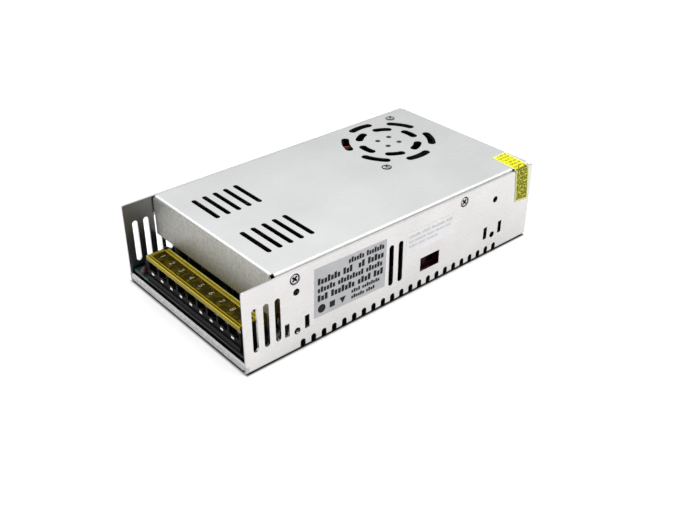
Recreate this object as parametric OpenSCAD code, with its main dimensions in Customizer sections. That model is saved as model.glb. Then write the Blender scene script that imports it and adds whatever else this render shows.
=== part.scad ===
// Enclosed switching power supply: a punched and folded sheet-metal case with a
// screw terminal strip under a hinged lid, a fan below the grille of its cover
// and a voltage selector behind a window in one long wall.
// Millimetres, Z up. The origin is the middle of the underside, the terminal end
// faces minus X and the wall with the selector window faces minus Y.

/* [Case] */
// Length of the case from the terminal end to the rear
case_l = 215; // [200:1:260]
// Width of the case over both long walls
case_w = 115; // [108:1:140]
// Height of the long walls
wall_h = 49.5; // [46:0.1:60]
// Thickness of the base sheet
sheet_t = 1.5; // [1:0.1:2]
// Inside radius of the folds in the base sheet
fold_r = 1; // [0.8:0.1:1.8]
// Gap between the front lip and the circuit board's edge
lip_gap = 0.3; // [0.1:0.1:1]
// Distance of the front lip's upper edge below the circuit board
lip_drop = 1.8; // [0.1:0.1:2.5]
// Width of the relief notch at each end of the front lip's fold
lip_relief = 0.5; // [0.3:0.1:3]
// Gap between the front lip above its fold and each wall
lip_play = 0.2; // [0.1:0.1:1]
// Radius of the walls' upper corners at the terminal end
wall_corner_r = 1; // [0.5:0.5:6]

/* [Cover] */
// Thickness of the cover sheet
cover_t = 1; // [0.6:0.1:1.5]
// Height of the cover's top face above the walls
cover_rise = 1.2; // [0.5:0.1:3]
// Inside radius of the folds in the cover
cover_fold_r = 1; // [0.5:0.1:2]
// Gap between the cover and each wall
cover_gap = 0.3; // [0.1:0.05:0.6]
// Depth of the open terminal bay in front of the cover
bay_depth = 19; // [18:0.5:26]
// Height of the cover's front flange
front_drop = 25; // [15:0.5:25.5]
// Height of the cover's side flanges
side_drop = 11; // [9:0.5:12]
// Size of the corner notches beyond the folds
notch_play = 0.2; // [0.1:0.1:1]
// Distance of the end flanges' edges from the cover's sides
flange_inset = 0.8; // [0.3:0.1:1.5]
// Gap between the rear flange and the floor
rear_gap = 0.3; // [0.1:0.1:2]

/* [Wall slots] */
// Width of the upright wall slots
slot_w = 3.4; // [2:0.1:4]
// Length of the upright wall slots
slot_l = 26; // [16:0.5:26]
// Distance between neighbouring wall slots
slot_pitch = 7; // [5:0.5:10]
// Height of the middle of the wall slots
slot_z = 25.1; // [20:0.1:26]
// Distance from the terminal end to the first wall slot
slot_first = 6.5; // [5:0.5:12]
// Number of end slots in the near wall
near_slots = 3; // [1:1:3]
// Number of end slots in the far wall
far_slots = 4; // [1:1:4]
// Position along the case of the middle slot pair
mid_slot_x = -5.9; // [-7:0.1:-4]
// Number of slots over each lower fold
base_slots = 22; // [10:1:23]
// Distance between neighbouring slots over the lower folds
base_slot_pitch = 7.1; // [5:0.1:8]
// Width of the slots over the lower folds
base_slot_w = 3.3; // [2:0.1:4]
// Height of the slots over the lower folds
base_slot_h = 6; // [4:0.1:8]
// Length of these slots across the floor
base_slot_run = 5; // [4:0.5:10]
// Position along the case of the middle of this row
base_slot_x = 3; // [-4:0.5:8]
// Width and height of the upright slots beside the mounting holes
key_slot = [3, 8]; // [1:0.1:9]
// Distance of these slots from the mounting holes
key_offset = 6.5; // [5:0.5:9]
// Height of the middle of these slots
key_z = 15.8; // [10:0.1:20]

/* [Mounting holes] */
// Distance between the mounting holes along the case
mount_l = 150; // [120:1:160]
// Distance between the two rows of holes in a wall
mount_h = 24; // [20:0.5:24]
// Height of the lower row of holes
mount_z = 12.7; // [10:0.1:14]
// Diameter of the mounting holes
mount_d = 4; // [3:0.1:4.5]
// Distance between the holes across the floor
floor_mount_w = 50; // [40:1:70]

/* [Cover vents] */
// Number of slots in each cover vent
vent_count = 5; // [2:1:8]
// Distance between neighbouring vent slots
vent_pitch = 7; // [5:0.5:9]
// Length of the vent slots
vent_l = 26; // [15:0.5:40]
// Width of the vent slots
vent_w = 3; // [2:0.1:4]
// Distance from the cover's front face to the first vent slot
vent_first = 13.5; // [8:0.5:20]
// Distance between the middles of the two vents
vent_row = 46; // [42:0.5:52]
// Distance of the vents from the middle of the cover, toward the far wall
vent_side = -1.2; // [-3:0.1:3]

/* [Fan grille] */
// Radius of the outer ring of grille slots
ring_outer_r = 27.3; // [26:0.1:29]
// Radius of the inner ring of grille slots
ring_inner_r = 18.4; // [16:0.1:20]
// Width of the grille slots
ring_w = 5; // [3:0.1:6]
// Angle between the end centres of an outer slot
ring_outer_arc = 28.5; // [15:0.5:35]
// Angle between the end centres of an inner slot
ring_inner_arc = 24.4; // [12:0.5:28]
// Number of slots in each ring
ring_slots = 6; // [4:1:6]
// Diameter of the four holes over the hub
hub_hole_d = 3.5; // [2:0.1:5]
// Distance of these holes from the middle
hub_hole_r = 6.7; // [4:0.1:8]

/* [Fan] */
// Side of the square fan
fan_size = 60; // [56:0.5:64]
// Depth of the fan
fan_depth = 15; // [14:0.5:18]
// Distance of the fan's screw holes from its sides
fan_hole_edge = 4; // [3.5:0.1:6]
// Diameter of the fan's screw holes
fan_hole_d = 4.3; // [3.8:0.1:5]
// Distance from the rear end to the fan axis
fan_rear = 45.7; // [42:0.1:50]
// Distance from the far wall to the fan axis
fan_side = 36.4; // [35.5:0.1:40]
// Wall between the air duct and the side of the fan
duct_wall = 1.5; // [1.2:0.1:2.5]
// Thickness of the two square flanges
fan_flange_t = 3.2; // [2.5:0.1:5]
// Diameter of the fan hub
hub_d = 30; // [24:0.5:34]
// Number of blades
blade_count = 7; // [5:1:9]
// Thickness of the blades
blade_t = 1.1; // [0.8:0.1:2]
// Slope of the blades
blade_angle = 38; // [25:1:45]
// Length of the blades along the air path slope
blade_chord = 13; // [9:0.5:14]
// Rise of the curved blade section
blade_camber = 1.6; // [0.8:0.1:2.5]
// Gap between the blade tips and the duct
tip_gap = 0.7; // [0.4:0.1:1.5]
// Diameter of the rotor shaft
shaft_d = 3; // [2:0.1:4]
// Radial play of the shaft in its bearing
shaft_play = 0.05; // [0.02:0.01:0.1]
// Width of the fan struts
strut_w = 3.6; // [2.5:0.1:5]
// Direction of the strut that carries the leads
lead_angle = 150; // [140:1:160]
// Diameter of the fan leads
lead_d = 1.3; // [0.8:0.1:1.6]
// Distance between the two fan leads
lead_pitch = 2.5; // [2:0.1:3]

/* [Terminals] */
// Number of terminals
poles = 9; // [5:1:9]
// Distance between neighbouring terminals
pole_pitch = 9.63; // [8.5:0.01:10.3]
// Thickness of the barriers between the terminals
barrier_t = 1.6; // [1:0.1:2]
// Height of the barriers above the pocket floor
barrier_h = 6.6; // [5.5:0.1:8]
// Gap between the near wall and the strip
block_side = 6.8; // [4:0.1:9]
// Distance from the terminal end to the strip
block_setback = 2.3; // [1.9:0.1:3]
// Depth of the strip from front to rear
block_d = 15; // [14.5:0.1:16]
// Height of the pocket floors above the board
pocket_h = 6.9; // [5.5:0.1:8]
// Height of the foot along the strip's front
foot_h = 3; // [2:0.1:5]
// Depth of the recess above that foot
foot_step = 0.8; // [0.4:0.1:1.2]
// Thickness of the contact plates
plate_t = 0.8; // [0.5:0.1:1.2]
// Gap between the contact plates and the barriers
plate_gap = 0.4; // [0.2:0.05:0.8]
// Width of the plates' front tongues
tongue_w = 2.4; // [1.5:0.1:4]
// Drop of the tongues' bent tips
tongue_drop = 1.4; // [0.5:0.1:2]
// Side of the square washers
washer_w = 6.8; // [5.5:0.1:7]
// Thickness of the square washers
washer_t = 0.8; // [0.5:0.1:1.2]
// Diameter of the terminal screws' heads
pole_head_d = 6.4; // [5:0.1:6.6]
// Height of the terminal screws' heads
pole_head_h = 2.6; // [1.8:0.1:3]
// Diameter of the terminal screws' shanks
pole_screw_d = 3.5; // [3:0.1:4]

/* [Terminal lid] */
// Thickness of the lid at its rims
lid_t = 1.2; // [0.8:0.1:2]
// Gap between the barriers and the lid's panel
lid_gap = 0.7; // [0.4:0.1:1.5]
// Diameter of the hinge knuckle and height of the front rim
knuckle_d = 2.5; // [2.3:0.1:3]
// Width of the front rim
rim_w = 2.2; // [1.5:0.1:3]
// Width of the rims at the lid's ends
end_rim_w = 1.6; // [1:0.1:3]
// Depth of the lid's panel below its rims
panel_sink = 0.5; // [0.2:0.1:0.6]
// Diameter of the hinge pins
pin_d = 1.4; // [1:0.1:1.6]
// Radial play of the hinge pins
pin_play = 0.05; // [0.02:0.01:0.1]
// Thickness of the ears that hold the lid
ear_t = 1.3; // [1:0.1:2]
// Gap beside the lid's moving parts
lid_play = 0.35; // [0.3:0.05:0.6]

/* [Circuit board] */
// Thickness of the circuit board
board_t = 1.6; // [1:0.1:2.4]
// Height of the standoffs below the board
standoff_h = 5.7; // [3.8:0.1:7]
// Width of the standoffs
standoff_d = 6; // [5:0.1:7]
// Gap between the board and each wall
board_side = 1.5; // [0.5:0.1:2.5]
// Gap between the board and the end flanges
board_end = 0.6; // [0.3:0.1:2]
// Distance of the standoffs from the board's long edges
standoff_edge = 4; // [3.8:0.1:4.5]
// Distance of the rear standoffs from the board's end
standoff_rear = 5; // [4:0.5:6]
// Thickness of the insulating film on the floor
film_t = 0.3; // [0.1:0.1:0.5]
// Gap between parts on the board
part_gap = 2.5; // [2:0.1:3]

/* [Screws] */
// Diameter of the countersunk heads of the cover screws
flat_head_d = 6.2; // [5:0.1:7]
// Diameter of the cover screws
flat_screw_d = 3; // [2.5:0.1:3.5]
// Length of the cover screws
flat_screw_l = 5; // [4:0.5:8]
// Distance from the terminal end to the front cover screws
flat_front = 31.9; // [28:0.1:40]
// Distance from the rear end to the rear cover screws
flat_rear = 59.9; // [50:0.1:70]
// Distance of the cover screws below the top of the walls
flat_down = 5; // [4.5:0.1:6]
// Depth of the flat heads below the face of the wall
flat_sink = 0.3; // [0.1:0.1:0.5]
// Diameter of the pan heads
pan_head_d = 6.2; // [5:0.1:7]
// Height of the fan screws' heads
fan_head_h = 1; // [0.8:0.1:2]
// Length of the fan screws below their heads
fan_screw_l = 10; // [6:0.5:12]
// Height of the board screws' heads
board_head_h = 2; // [1.5:0.1:2.5]
// Diameter of the board and device screws
small_screw_d = 2.6; // [2:0.1:2.9]
// Play around each screw shank
screw_play = 0.1; // [0.05:0.05:0.3]
// Width of the cross recess
recess_w = 0.9; // [0.6:0.1:1.2]

/* [Selector] */
// Position along the case of the selector window
selector_x = 21.2; // [16:0.1:26]
// Height of the middle of the selector window
selector_z = 15.9; // [15:0.1:19]
// Width and height of the window in the wall
window = [15.2, 8.8]; // [6:0.1:18]
// Travel of the slider
slider_travel = 6; // [4:0.1:6.5]
// Width and height of the slider's knob
knob = [6.8, 6]; // [4:0.1:8]
// Gap around the slider
slider_play = 0.3; // [0.3:0.05:0.5]
// Depth of the selector body
selector_d = 7.5; // [6.5:0.1:8]
// Thickness of the selector's metal frame
selector_frame_t = 0.5; // [0.3:0.1:0.8]

/* [Lamp and adjuster] */
// Diameter of the indicator lamp
led_d = 3; // [2.5:0.1:5]
// Height of the indicator lamp
led_h = 3.9; // [3.5:0.1:9]
// Distance of the lamp and the adjuster from the middle of their gap, toward the strip
adjuster_shift = 0.8; // [0:0.1:1]
// Length, width and height of the adjuster body
trimmer = [6.6, 6.6, 5.2]; // [4:0.1:7]
// Diameter of the adjuster's rotor
trimmer_rotor_d = 4.6; // [3:0.1:6]
// Height of the adjuster's rotor
trimmer_rotor_h = 1.6; // [1:0.1:3]
// Diameter of the adjuster's pin
trimmer_pin_d = 2; // [1.5:0.1:2.5]

/* [Stickers] */
// Thickness of the stickers
sticker_t = 0.1; // [0.05:0.05:0.2]
// Width and height of the rating label
label = [50, 30]; // [20:0.5:52]
// Position along the case and height of the label's middle
label_at = [-38.6, 29.3]; // [-45:0.1:45]
// Tilt of the label
label_tilt = -1.5; // [-3:0.1:3]
// Width and height of the clear notice film
notice = [38.3, 13.4]; // [10:0.1:40]
// Position along the case and height of the film's middle
notice_at = [20.8, 33.9]; // [15:0.1:36]
// Width of the seal sticker
seal_w = 12.5; // [8:0.1:14]
// Distance from the rear end to the middle of the seal
seal_rear = 9.6; // [8:0.1:14]
// Length of the seal on the cover
seal_top = 17.5; // [8:0.5:25]
// Length of the seal on the wall
seal_side = 22; // [10:0.5:24]

/* [Mains input] */
// Length of the fuse
fuse_l = 20; // [18:0.5:22]
// Diameter of the fuse
fuse_d = 5.2; // [4:0.1:6]
// Length of the fuse's end caps
fuse_cap_l = 5.5; // [4:0.1:7]
// Length, width and height of the film capacitor
film_cap = [26, 11, 18]; // [8:0.5:30]
// Outer diameter of the filter choke's ring
filter_d = 24; // [20:0.5:25]
// Inner diameter of the filter choke's ring
filter_bore = 13; // [11:0.5:14]
// Height of the filter choke's ring
filter_h = 11; // [8:0.5:15]
// Turns in each half of the filter choke
filter_turns = 6; // [3:1:7]
// Wire diameter of the filter choke
filter_wire = 1.2; // [0.8:0.1:1.4]
// Diameter of the thermistor
thermistor_d = 13; // [9:0.5:15]
// Thickness of the thermistor and the disc capacitors
disc_t = 4.4; // [3:0.1:5]
// Diameter of the disc capacitors
disc_d = 9; // [6:0.5:10]
// Length, thickness and height of the bridge rectifier
bridge = [30, 6.6, 20]; // [4:0.1:32]
// Height of the leads below standing parts
lead_h = 3.5; // [2:0.1:5]

/* [Power stage] */
// Diameter of the bulk capacitors
bulk_d = 25; // [20:0.5:26]
// Height of the bulk capacitors
bulk_h = 34; // [20:0.5:34.5]
// Distance of the bulk capacitors from the board's rear end
bulk_rear = 20; // [16:0.5:22]
// Length of the primary heatsink
primary_l = 54; // [40:1:58]
// Height of the heatsinks
sink_h = 22; // [21:0.5:24]
// Thickness of the heatsinks' back plates
sink_t = 3; // [2:0.1:3.5]
// Length of the heatsinks' fins
sink_fin = 4.6; // [3:0.1:5]
// Distance between the heatsinks' fins
sink_pitch = 6; // [5:0.5:8]
// Thickness of the heatsinks' fins
sink_fin_t = 1.4; // [1:0.1:2]
// Width, thickness and height of a power device's body
device = [10, 4.4, 9.2]; // [4:0.1:11]
// Height of a power device's metal tab above its body
device_tab = 6.3; // [5:0.1:7]
// Thickness of the metal tab
device_tab_t = 1.3; // [0.8:0.1:1.5]
// Thickness of the insulating pads
pad_t = 0.3; // [0.2:0.05:0.4]
// Distance between power devices
device_pitch = 14; // [12:0.5:15]
// Length of the transformer core along its legs
core_l = 42; // [38:0.5:44]
// Width of the transformer core across its legs
core_w = 42; // [40:0.5:44]
// Height of the transformer core
core_h = 15; // [12:0.5:16]
// Width of the core's middle leg
core_leg = 12; // [10:0.5:13]
// Thickness of the winding on each side of the leg
winding_t = 6.5; // [4:0.1:6.8]
// Wall of the transformer bobbin
bobbin_t = 1.2; // [0.8:0.1:1.5]
// Height of the bobbin's feet
bobbin_foot = 2; // [1:0.1:3]

/* [Output stage] */
// Length of the secondary heatsink
secondary_l = 42; // [38:1:44]
// Outer diameter of the output choke's ring
choke_d = 34; // [28:0.5:36]
// Inner diameter of the output choke's ring
choke_bore = 20; // [17:0.5:22]
// Height of the output choke's ring
choke_h = 14; // [10:0.5:18]
// Turns of the output choke
choke_turns = 16; // [8:1:20]
// Wire diameter of the output choke
choke_wire = 1.8; // [1.2:0.1:2]
// Diameter of the output capacitors
output_cap_d = 12.5; // [10:0.5:13]
// Height of the output capacitors
output_cap_h = 25; // [16:0.5:30]
// Number of output capacitors
output_caps = 3; // [1:1:3]

/* [Control] */
// Length, width and height of the driver transformer
driver = [16, 14, 13]; // [8:0.5:18]
// Length, width and height of the control chip
chip = [19.3, 6.4, 3.4]; // [3:0.1:20]
// Number of legs on each side of the chip
chip_legs = 8; // [4:1:8]
// Diameter of the small capacitors
small_cap_d = 6.3; // [5:0.1:8]
// Height of the small capacitors
small_cap_h = 11; // [8:0.5:14]
// Length of the resistors
resistor_l = 14; // [8:0.5:16]
// Diameter of the resistors
resistor_d = 4.6; // [3:0.1:5]
// Length, width and height of the fan plug
plug = [7.6, 5.6, 8]; // [5:0.1:9]

/* [Hidden] */
$fn = 64;

// Play that keeps two touching parts of one body from cutting into each other
touch = 0.05;
// Extra length of a cutting shape past the face it opens
past = 1;

front_x = -case_l / 2;
rear_x = case_l / 2;
in_w = case_w - 2 * sheet_t;
fold_out = fold_r + sheet_t;

board_z = sheet_t + standoff_h;
board_top = board_z + board_t;
board_w = in_w - 2 * board_side;
board_front = front_x + sheet_t + lip_gap;
board_rear = rear_x - cover_t - board_end;
board_l = board_rear - board_front;
near_y = -board_w / 2;
far_y = board_w / 2;

lip_h = board_z - lip_drop;
lip_l = in_w - 2 * fold_r - 2 * lip_relief;
lip_top_l = in_w - 2 * lip_play;
lip_run = 2 * fold_out;

cover_top = wall_h + cover_rise;
cover_under = cover_top - cover_t;
cover_w = in_w - 2 * cover_gap;
cover_front = front_x + bay_depth;
cover_l = rear_x - cover_front;
cover_x = (rear_x + cover_front) / 2;
corner_notch = cover_fold_r + cover_t + notch_play;
rear_drop = cover_top - sheet_t - rear_gap;
cover_screw_xs = [front_x + flat_front, rear_x - flat_rear];
cover_screw_z = wall_h - flat_down;

fan_x = rear_x - fan_rear;
fan_y = case_w / 2 - fan_side;
duct_r = fan_size / 2 - duct_wall;
fan_pitch = fan_size - 2 * fan_hole_edge;
hub_r = hub_d / 2;
hub_wall = 1.2;
hub_top = 4.4;
hub_bottom = fan_depth - 1.3;
bearing_r = shaft_d / 2 + 2.4;
bearing_end = hub_bottom - hub_wall - 0.8;
motor_plate_z = 1.4;
motor_plate_t = 2;
strut_top = lead_d + 0.9;
strut_h = 2.6;
stator_r = hub_r - hub_wall - 2;
lead_z = cover_under - strut_top + lead_d / 2 + touch;
lead_bend = 2.2;
lead_turn = fan_size / 2 / abs(cos(lead_angle)) + lead_bend / 2;
plug_r = lead_turn + lead_bend;
plug_x = fan_x + plug_r * cos(lead_angle);
plug_y = fan_y + plug_r * sin(lead_angle);

block_l = poles * pole_pitch + 2 * ear_t;
block_y = -in_w / 2 + block_side + block_l / 2;
block_front = front_x + block_setback;
block_rear = block_front + block_d;
pocket_z = board_top + pocket_h;
barrier_z = pocket_z + barrier_h;
lid_under = barrier_z + lid_gap;
lid_top = lid_under + lid_t;
knuckle_r = knuckle_d / 2;
hinge_x = block_rear - knuckle_r - touch;
hinge_z = lid_top - knuckle_r;
ear_r = knuckle_r + 0.5;
lid_front = block_front + 0.4;
lid_rear = hinge_x - ear_r - lid_play;
rim_under = lid_top - knuckle_d;
back_z = rim_under - lid_play;
plate_w = pole_pitch - barrier_t - 2 * plate_gap;
plate_front = block_front + 0.9;
plate_rear = block_rear - 2 * barrier_t;
pole_x = (plate_front + plate_rear) / 2 + 1.2;
pole_bore = pole_screw_d + 2 * screw_play;
pole_screw_l = pocket_h - 3;

selector_front = -in_w / 2 + 2.2;
selector_top = selector_z + window[1] / 2 + 1.8;
slider_base = [knob[0] + 1.4, knob[1] + 0.8];
slider_base_d = 1.6;
slider_room = slider_base[0] + slider_travel + 2 * slider_play;
selector_w = slider_room + 5;
slider_floor = selector_front + selector_frame_t + slider_base_d + 2 * slider_play;

adjuster_y = (block_y + block_l / 2 + in_w / 2) / 2 - adjuster_shift;
led_rim = 0.45;
led_x = board_front + led_d / 2 + led_rim + 0.2;
trimmer_x = led_x + led_d / 2 + led_rim + 0.8 + trimmer[0] / 2;
trimmer_pin_l = 3;

row_front = max(block_rear, cover_front + cover_t) + part_gap;
standoff_front = row_front + 3.5;
standoff_xy = [[standoff_front, near_y + standoff_edge], [standoff_front, far_y - standoff_edge],
               [board_rear - standoff_rear, near_y + standoff_edge],
               [board_rear - standoff_rear, far_y - standoff_edge]];
floor_mounts = [for (sx = [-1, 1], sy = [-1, 1]) [sx * mount_l / 2, sy * floor_mount_w / 2]];

fuse_x = standoff_front + pan_head_d / 2 + 1 + fuse_l / 2;
fuse_y = near_y + 8.5;
fuse_z = board_top + 1 + fuse_d / 2;
clip_w = fuse_d + 1.6;
film_cap_y = fuse_y + clip_w / 2 + part_gap + film_cap[1] / 2;
filter_r = filter_d / 2 + filter_wire + touch;
filter_y = film_cap_y + film_cap[1] / 2 + part_gap + filter_r;
filter_x = row_front + filter_r;
row_mid = fuse_x + fuse_l / 2 + part_gap;
disc_x = row_mid + disc_t / 2;
thermistor_y = near_y + thermistor_d / 2 + part_gap;
bridge_x = row_mid + disc_t + part_gap + bridge[0] / 2;
bridge_y = near_y + 12;
output_cap_pitch = output_cap_d + 1.1;
output_cap_x = row_front + output_cap_d / 2;
output_cap_y = far_y - 7.4 - output_cap_d / 2;
choke_r = choke_d / 2 + choke_wire + touch;
choke_x = row_front + output_cap_d + part_gap + choke_r;
choke_y = far_y - 8 - choke_r;
core_x = (choke_x + choke_r + fan_x - fan_size / 2) / 2;
core_yoke = core_leg / 2;
core_window = (core_w - 2 * core_leg) / 2;
core_z = board_top + bobbin_foot + bobbin_t + winding_t + bobbin_t;
bobbin_l = core_l - 2 * core_yoke - 2 * touch;
bulk_y = near_y + 7.5 + bulk_d / 2;
bulk_xs = [for (k = [0, 1]) board_rear - bulk_rear - bulk_d / 2 - k * (bulk_d + part_gap)];
device_x = core_x - 8;
primary_x = fan_x - 0.8;
primary_y = bulk_y + bulk_d / 2 + 1.5 + device[1] + pad_t;
secondary_y = far_y - 0.5 - sink_fin - sink_t;
primary_devices = [for (k = [-1, 1]) primary_x + k * device_pitch / 2];
secondary_devices = [for (k = [-1 : 1]) device_x + k * device_pitch];
device_hole_z = board_top + lead_h + device[2] + device_tab / 2;
control_x = fan_x + part_gap;
driver_at = [fan_x - part_gap - driver[0] / 2, fan_y - driver[1] / 2];
chip_at = [control_x + chip[0] / 2, fan_y + 2 * part_gap + chip[1] / 2];
small_cap_y = chip_at[1] + chip[1] / 2 + 2 * part_gap + small_cap_d / 2;
small_cap_at = [for (k = [0 : 2])
    [control_x + small_cap_d / 2 + k * (small_cap_d + part_gap), small_cap_y]];
resistor_at = [for (k = [0, 1])
    [control_x + resistor_l / 2, fan_y - resistor_d / 2 - k * (resistor_d + part_gap)]];

module along_x(l) {
    rotate([90, 0, 90]) linear_extrude(l, center = true) children();
}

module along_y(l) {
    rotate([90, 0, 0]) linear_extrude(l, center = true) children();
}

// Rectangle that hangs below its origin, with its upper corners rounded
module tray_2d(w, h, r) {
    translate([-w / 2 + r, -h]) square([w - 2 * r, h]);
    translate([-w / 2, -h]) square([w, h - r]);
    for (side = [-1, 1]) translate([side * (w / 2 - r), -r]) circle(r = r);
}

// Section of a sheet folded down on both sides, its upper face on the X axis
module folded_2d(w, left, right, t, r) {
    drop = max(left, right);
    difference() {
        tray_2d(w, drop, r + t);
        translate([0, -t]) tray_2d(w - 2 * t, drop, r);
        translate([-w, -2 * drop]) square([w, 2 * drop - left]);
        translate([0, -2 * drop]) square([w, 2 * drop - right]);
    }
}

// Section of the upturned lip, its outer corner at the origin
module lip_2d() {
    difference() {
        union() {
            translate([0, fold_out]) square([sheet_t, lip_h - fold_out]);
            translate([fold_out, 0]) square([lip_run - fold_out, sheet_t]);
            intersection() {
                translate([fold_out, fold_out]) circle(r = fold_out);
                square(fold_out);
            }
        }
        translate([fold_out, fold_out]) circle(r = fold_r);
    }
}

module slot_2d(l, w) {
    square([w, l - w], center = true);
    for (end = [-1, 1]) translate([0, end * (l - w) / 2]) circle(d = w);
}

module rounded_2d(size, r) {
    square([size[0] - 2 * r, size[1]], center = true);
    square([size[0], size[1] - 2 * r], center = true);
    for (sx = [-1, 1], sy = [-1, 1])
        translate([sx * (size[0] / 2 - r), sy * (size[1] / 2 - r)]) circle(r = r);
}

// Slot bent along a circle, its middle on the X axis, its round ends a touch wider
module arc_slot_2d(r, w, arc) {
    reach = 2 * r;
    intersection() {
        difference() {
            circle(r = r + w / 2);
            circle(r = r - w / 2);
        }
        polygon([[0, 0], reach * [cos(arc / 2), -sin(arc / 2)], reach * [cos(arc / 2), sin(arc / 2)]]);
    }
    for (end = [-1, 1]) rotate(end * arc / 2) translate([r, 0]) circle(d = w + touch);
}

module cross_recess(d, depth) {
    for (turn = [45, 135]) rotate(turn) cube([d, recess_w, 2 * depth], center = true);
}

// Screw whose flat head ends below the origin, pointing down
module flat_screw(play = 0) {
    head_h = (flat_head_d - flat_screw_d) / 2;
    translate([0, 0, -flat_sink - head_h])
        cylinder(h = head_h, d1 = flat_screw_d + 2 * play, d2 = flat_head_d + 2 * play);
    translate([0, 0, -flat_sink - flat_screw_l]) cylinder(h = flat_screw_l, d = flat_screw_d + 2 * play);
}

// Room for such a screw, open to the face of the wall
module flat_screw_hole() {
    flat_screw(screw_play);
    translate([0, 0, -flat_sink]) cylinder(h = flat_sink + past, d = flat_head_d + 4 * screw_play);
}

// Screw that bears on the origin with a domed head, pointing down
module pan_screw(head_d, head_h, shank_d, l) {
    difference() {
        union() {
            intersection() {
                cylinder(h = head_h, d = head_d);
                translate([0, 0, head_h - head_d]) sphere(r = head_d);
            }
            translate([0, 0, -l]) cylinder(h = l + touch, d = shank_d);
        }
        translate([0, 0, head_h]) cross_recess(head_d * 0.6, head_h * 0.8);
    }
}

module at_cover_screws() {
    for (side = [-1, 1], x = cover_screw_xs)
        translate([x, side * case_w / 2, cover_screw_z]) rotate([-side * 90, 0, 0]) children();
}

// Holes that both long walls share
module wall_holes_2d(slots) {
    for (k = [0 : slots - 1])
        translate([front_x + slot_first + k * slot_pitch, slot_z]) slot_2d(slot_l, slot_w);
    for (k = [-0.5, 0.5]) translate([mid_slot_x + k * slot_pitch, slot_z]) slot_2d(slot_l, slot_w);
    for (end = [-1, 1]) {
        for (row = [0, 1]) translate([end * mount_l / 2, mount_z + row * mount_h]) circle(d = mount_d);
        for (side = [-1, 1])
            translate([end * mount_l / 2 + side * key_offset, key_z]) square(key_slot, center = true);
    }
}

// Row of slots that run over one lower fold
module fold_slots(side) {
    first_x = base_slot_x - (base_slots - 1) / 2 * base_slot_pitch;
    up = base_slot_h - base_slot_w / 2 + past;
    run = base_slot_run - base_slot_w / 2 + past;
    for (k = [0 : base_slots - 1]) translate([first_x + k * base_slot_pitch, side * case_w / 2, 0]) {
        along_y(2 * fold_out + 2 * touch) {
            translate([-base_slot_w / 2, -past]) square([base_slot_w, up]);
            translate([0, up - past]) circle(d = base_slot_w);
        }
        translate([0, 0, -past]) linear_extrude(fold_out + past) {
            translate([-base_slot_w / 2, side > 0 ? past - run : -past]) square([base_slot_w, run]);
            translate([0, -side * (run - past)]) circle(d = base_slot_w);
        }
    }
}

module chassis() {
    color("silver") difference() {
        union() {
            difference() {
                along_x(case_l) mirror([0, 1]) folded_2d(case_w, wall_h, wall_h, sheet_t, fold_r);
                translate([front_x, 0, 0])
                    cube([2 * lip_run, lip_l + 2 * lip_relief, 2 * fold_out], center = true);
            }
            translate([front_x, 0, 0]) along_y(lip_l) lip_2d();
            translate([front_x, 0, 0]) along_y(lip_top_l) translate([0, fold_out])
                square([sheet_t, lip_h - fold_out]);
        }
        for (side = [-1, 1]) {
            translate([0, side * (case_w - sheet_t) / 2, 0]) along_y(2 * sheet_t)
                wall_holes_2d(side < 0 ? near_slots : far_slots);
            fold_slots(side);
        }
        translate([selector_x, -(case_w - sheet_t) / 2, selector_z]) along_y(2 * sheet_t)
            square(window, center = true);
        at_cover_screws() flat_screw_hole();
        for (at = floor_mounts) translate([at[0], at[1], -past])
            cylinder(h = sheet_t + 2 * past, d = mount_d);
        along_y(case_w + 2 * past) difference() {
            translate([front_x - past, wall_h - wall_corner_r]) square(wall_corner_r + past);
            translate([front_x + wall_corner_r, wall_h - wall_corner_r]) circle(r = wall_corner_r);
        }
    }
}

module grille_2d() {
    for (k = [0 : ring_slots - 1]) {
        rotate((k + 0.5) * 360 / ring_slots) arc_slot_2d(ring_outer_r, ring_w, ring_outer_arc);
        rotate(k * 360 / ring_slots) arc_slot_2d(ring_inner_r, ring_w, ring_inner_arc);
    }
    for (k = [0 : 3]) rotate(45 + k * 90) translate([hub_hole_r, 0]) circle(d = hub_hole_d);
    for (end = [-1, 1]) translate(end * fan_pitch / 2 * [1, 1]) circle(d = fan_hole_d);
}

module top_cover() {
    color("gainsboro") difference() {
        translate([cover_x, 0, cover_top]) {
            along_x(cover_l - 2 * corner_notch)
                folded_2d(cover_w, side_drop, side_drop, cover_t, cover_fold_r);
            along_y(cover_w - 2 * corner_notch)
                folded_2d(cover_l, front_drop, rear_drop, cover_t, cover_fold_r);
            along_y(cover_w - 2 * flange_inset) {
                translate([-cover_l / 2, -front_drop]) square([cover_t, front_drop - corner_notch]);
                translate([cover_l / 2 - cover_t, -rear_drop]) square([cover_t, rear_drop - corner_notch]);
            }
        }
        translate([0, 0, cover_under - past]) linear_extrude(cover_t + 2 * past) {
            for (k = [0 : vent_count - 1], side = [-1, 1])
                translate([cover_front + vent_first + k * vent_pitch, vent_side + side * vent_row / 2])
                    slot_2d(vent_l, vent_w);
            translate([fan_x, fan_y]) grille_2d();
        }
        at_cover_screws() flat_screw_hole();
    }
}

module cover_screws() {
    color("whitesmoke") at_cover_screws() difference() {
        flat_screw();
        translate([0, 0, -flat_sink]) cross_recess(flat_head_d * 0.6, flat_head_d * 0.2);
    }
}

module fan_screws() {
    color("whitesmoke") for (end = [-1, 1])
        translate([fan_x + end * fan_pitch / 2, fan_y + end * fan_pitch / 2, cover_top])
            pan_screw(pan_head_d, fan_head_h, fan_hole_d - 2 * screw_play, fan_screw_l);
}

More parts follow.
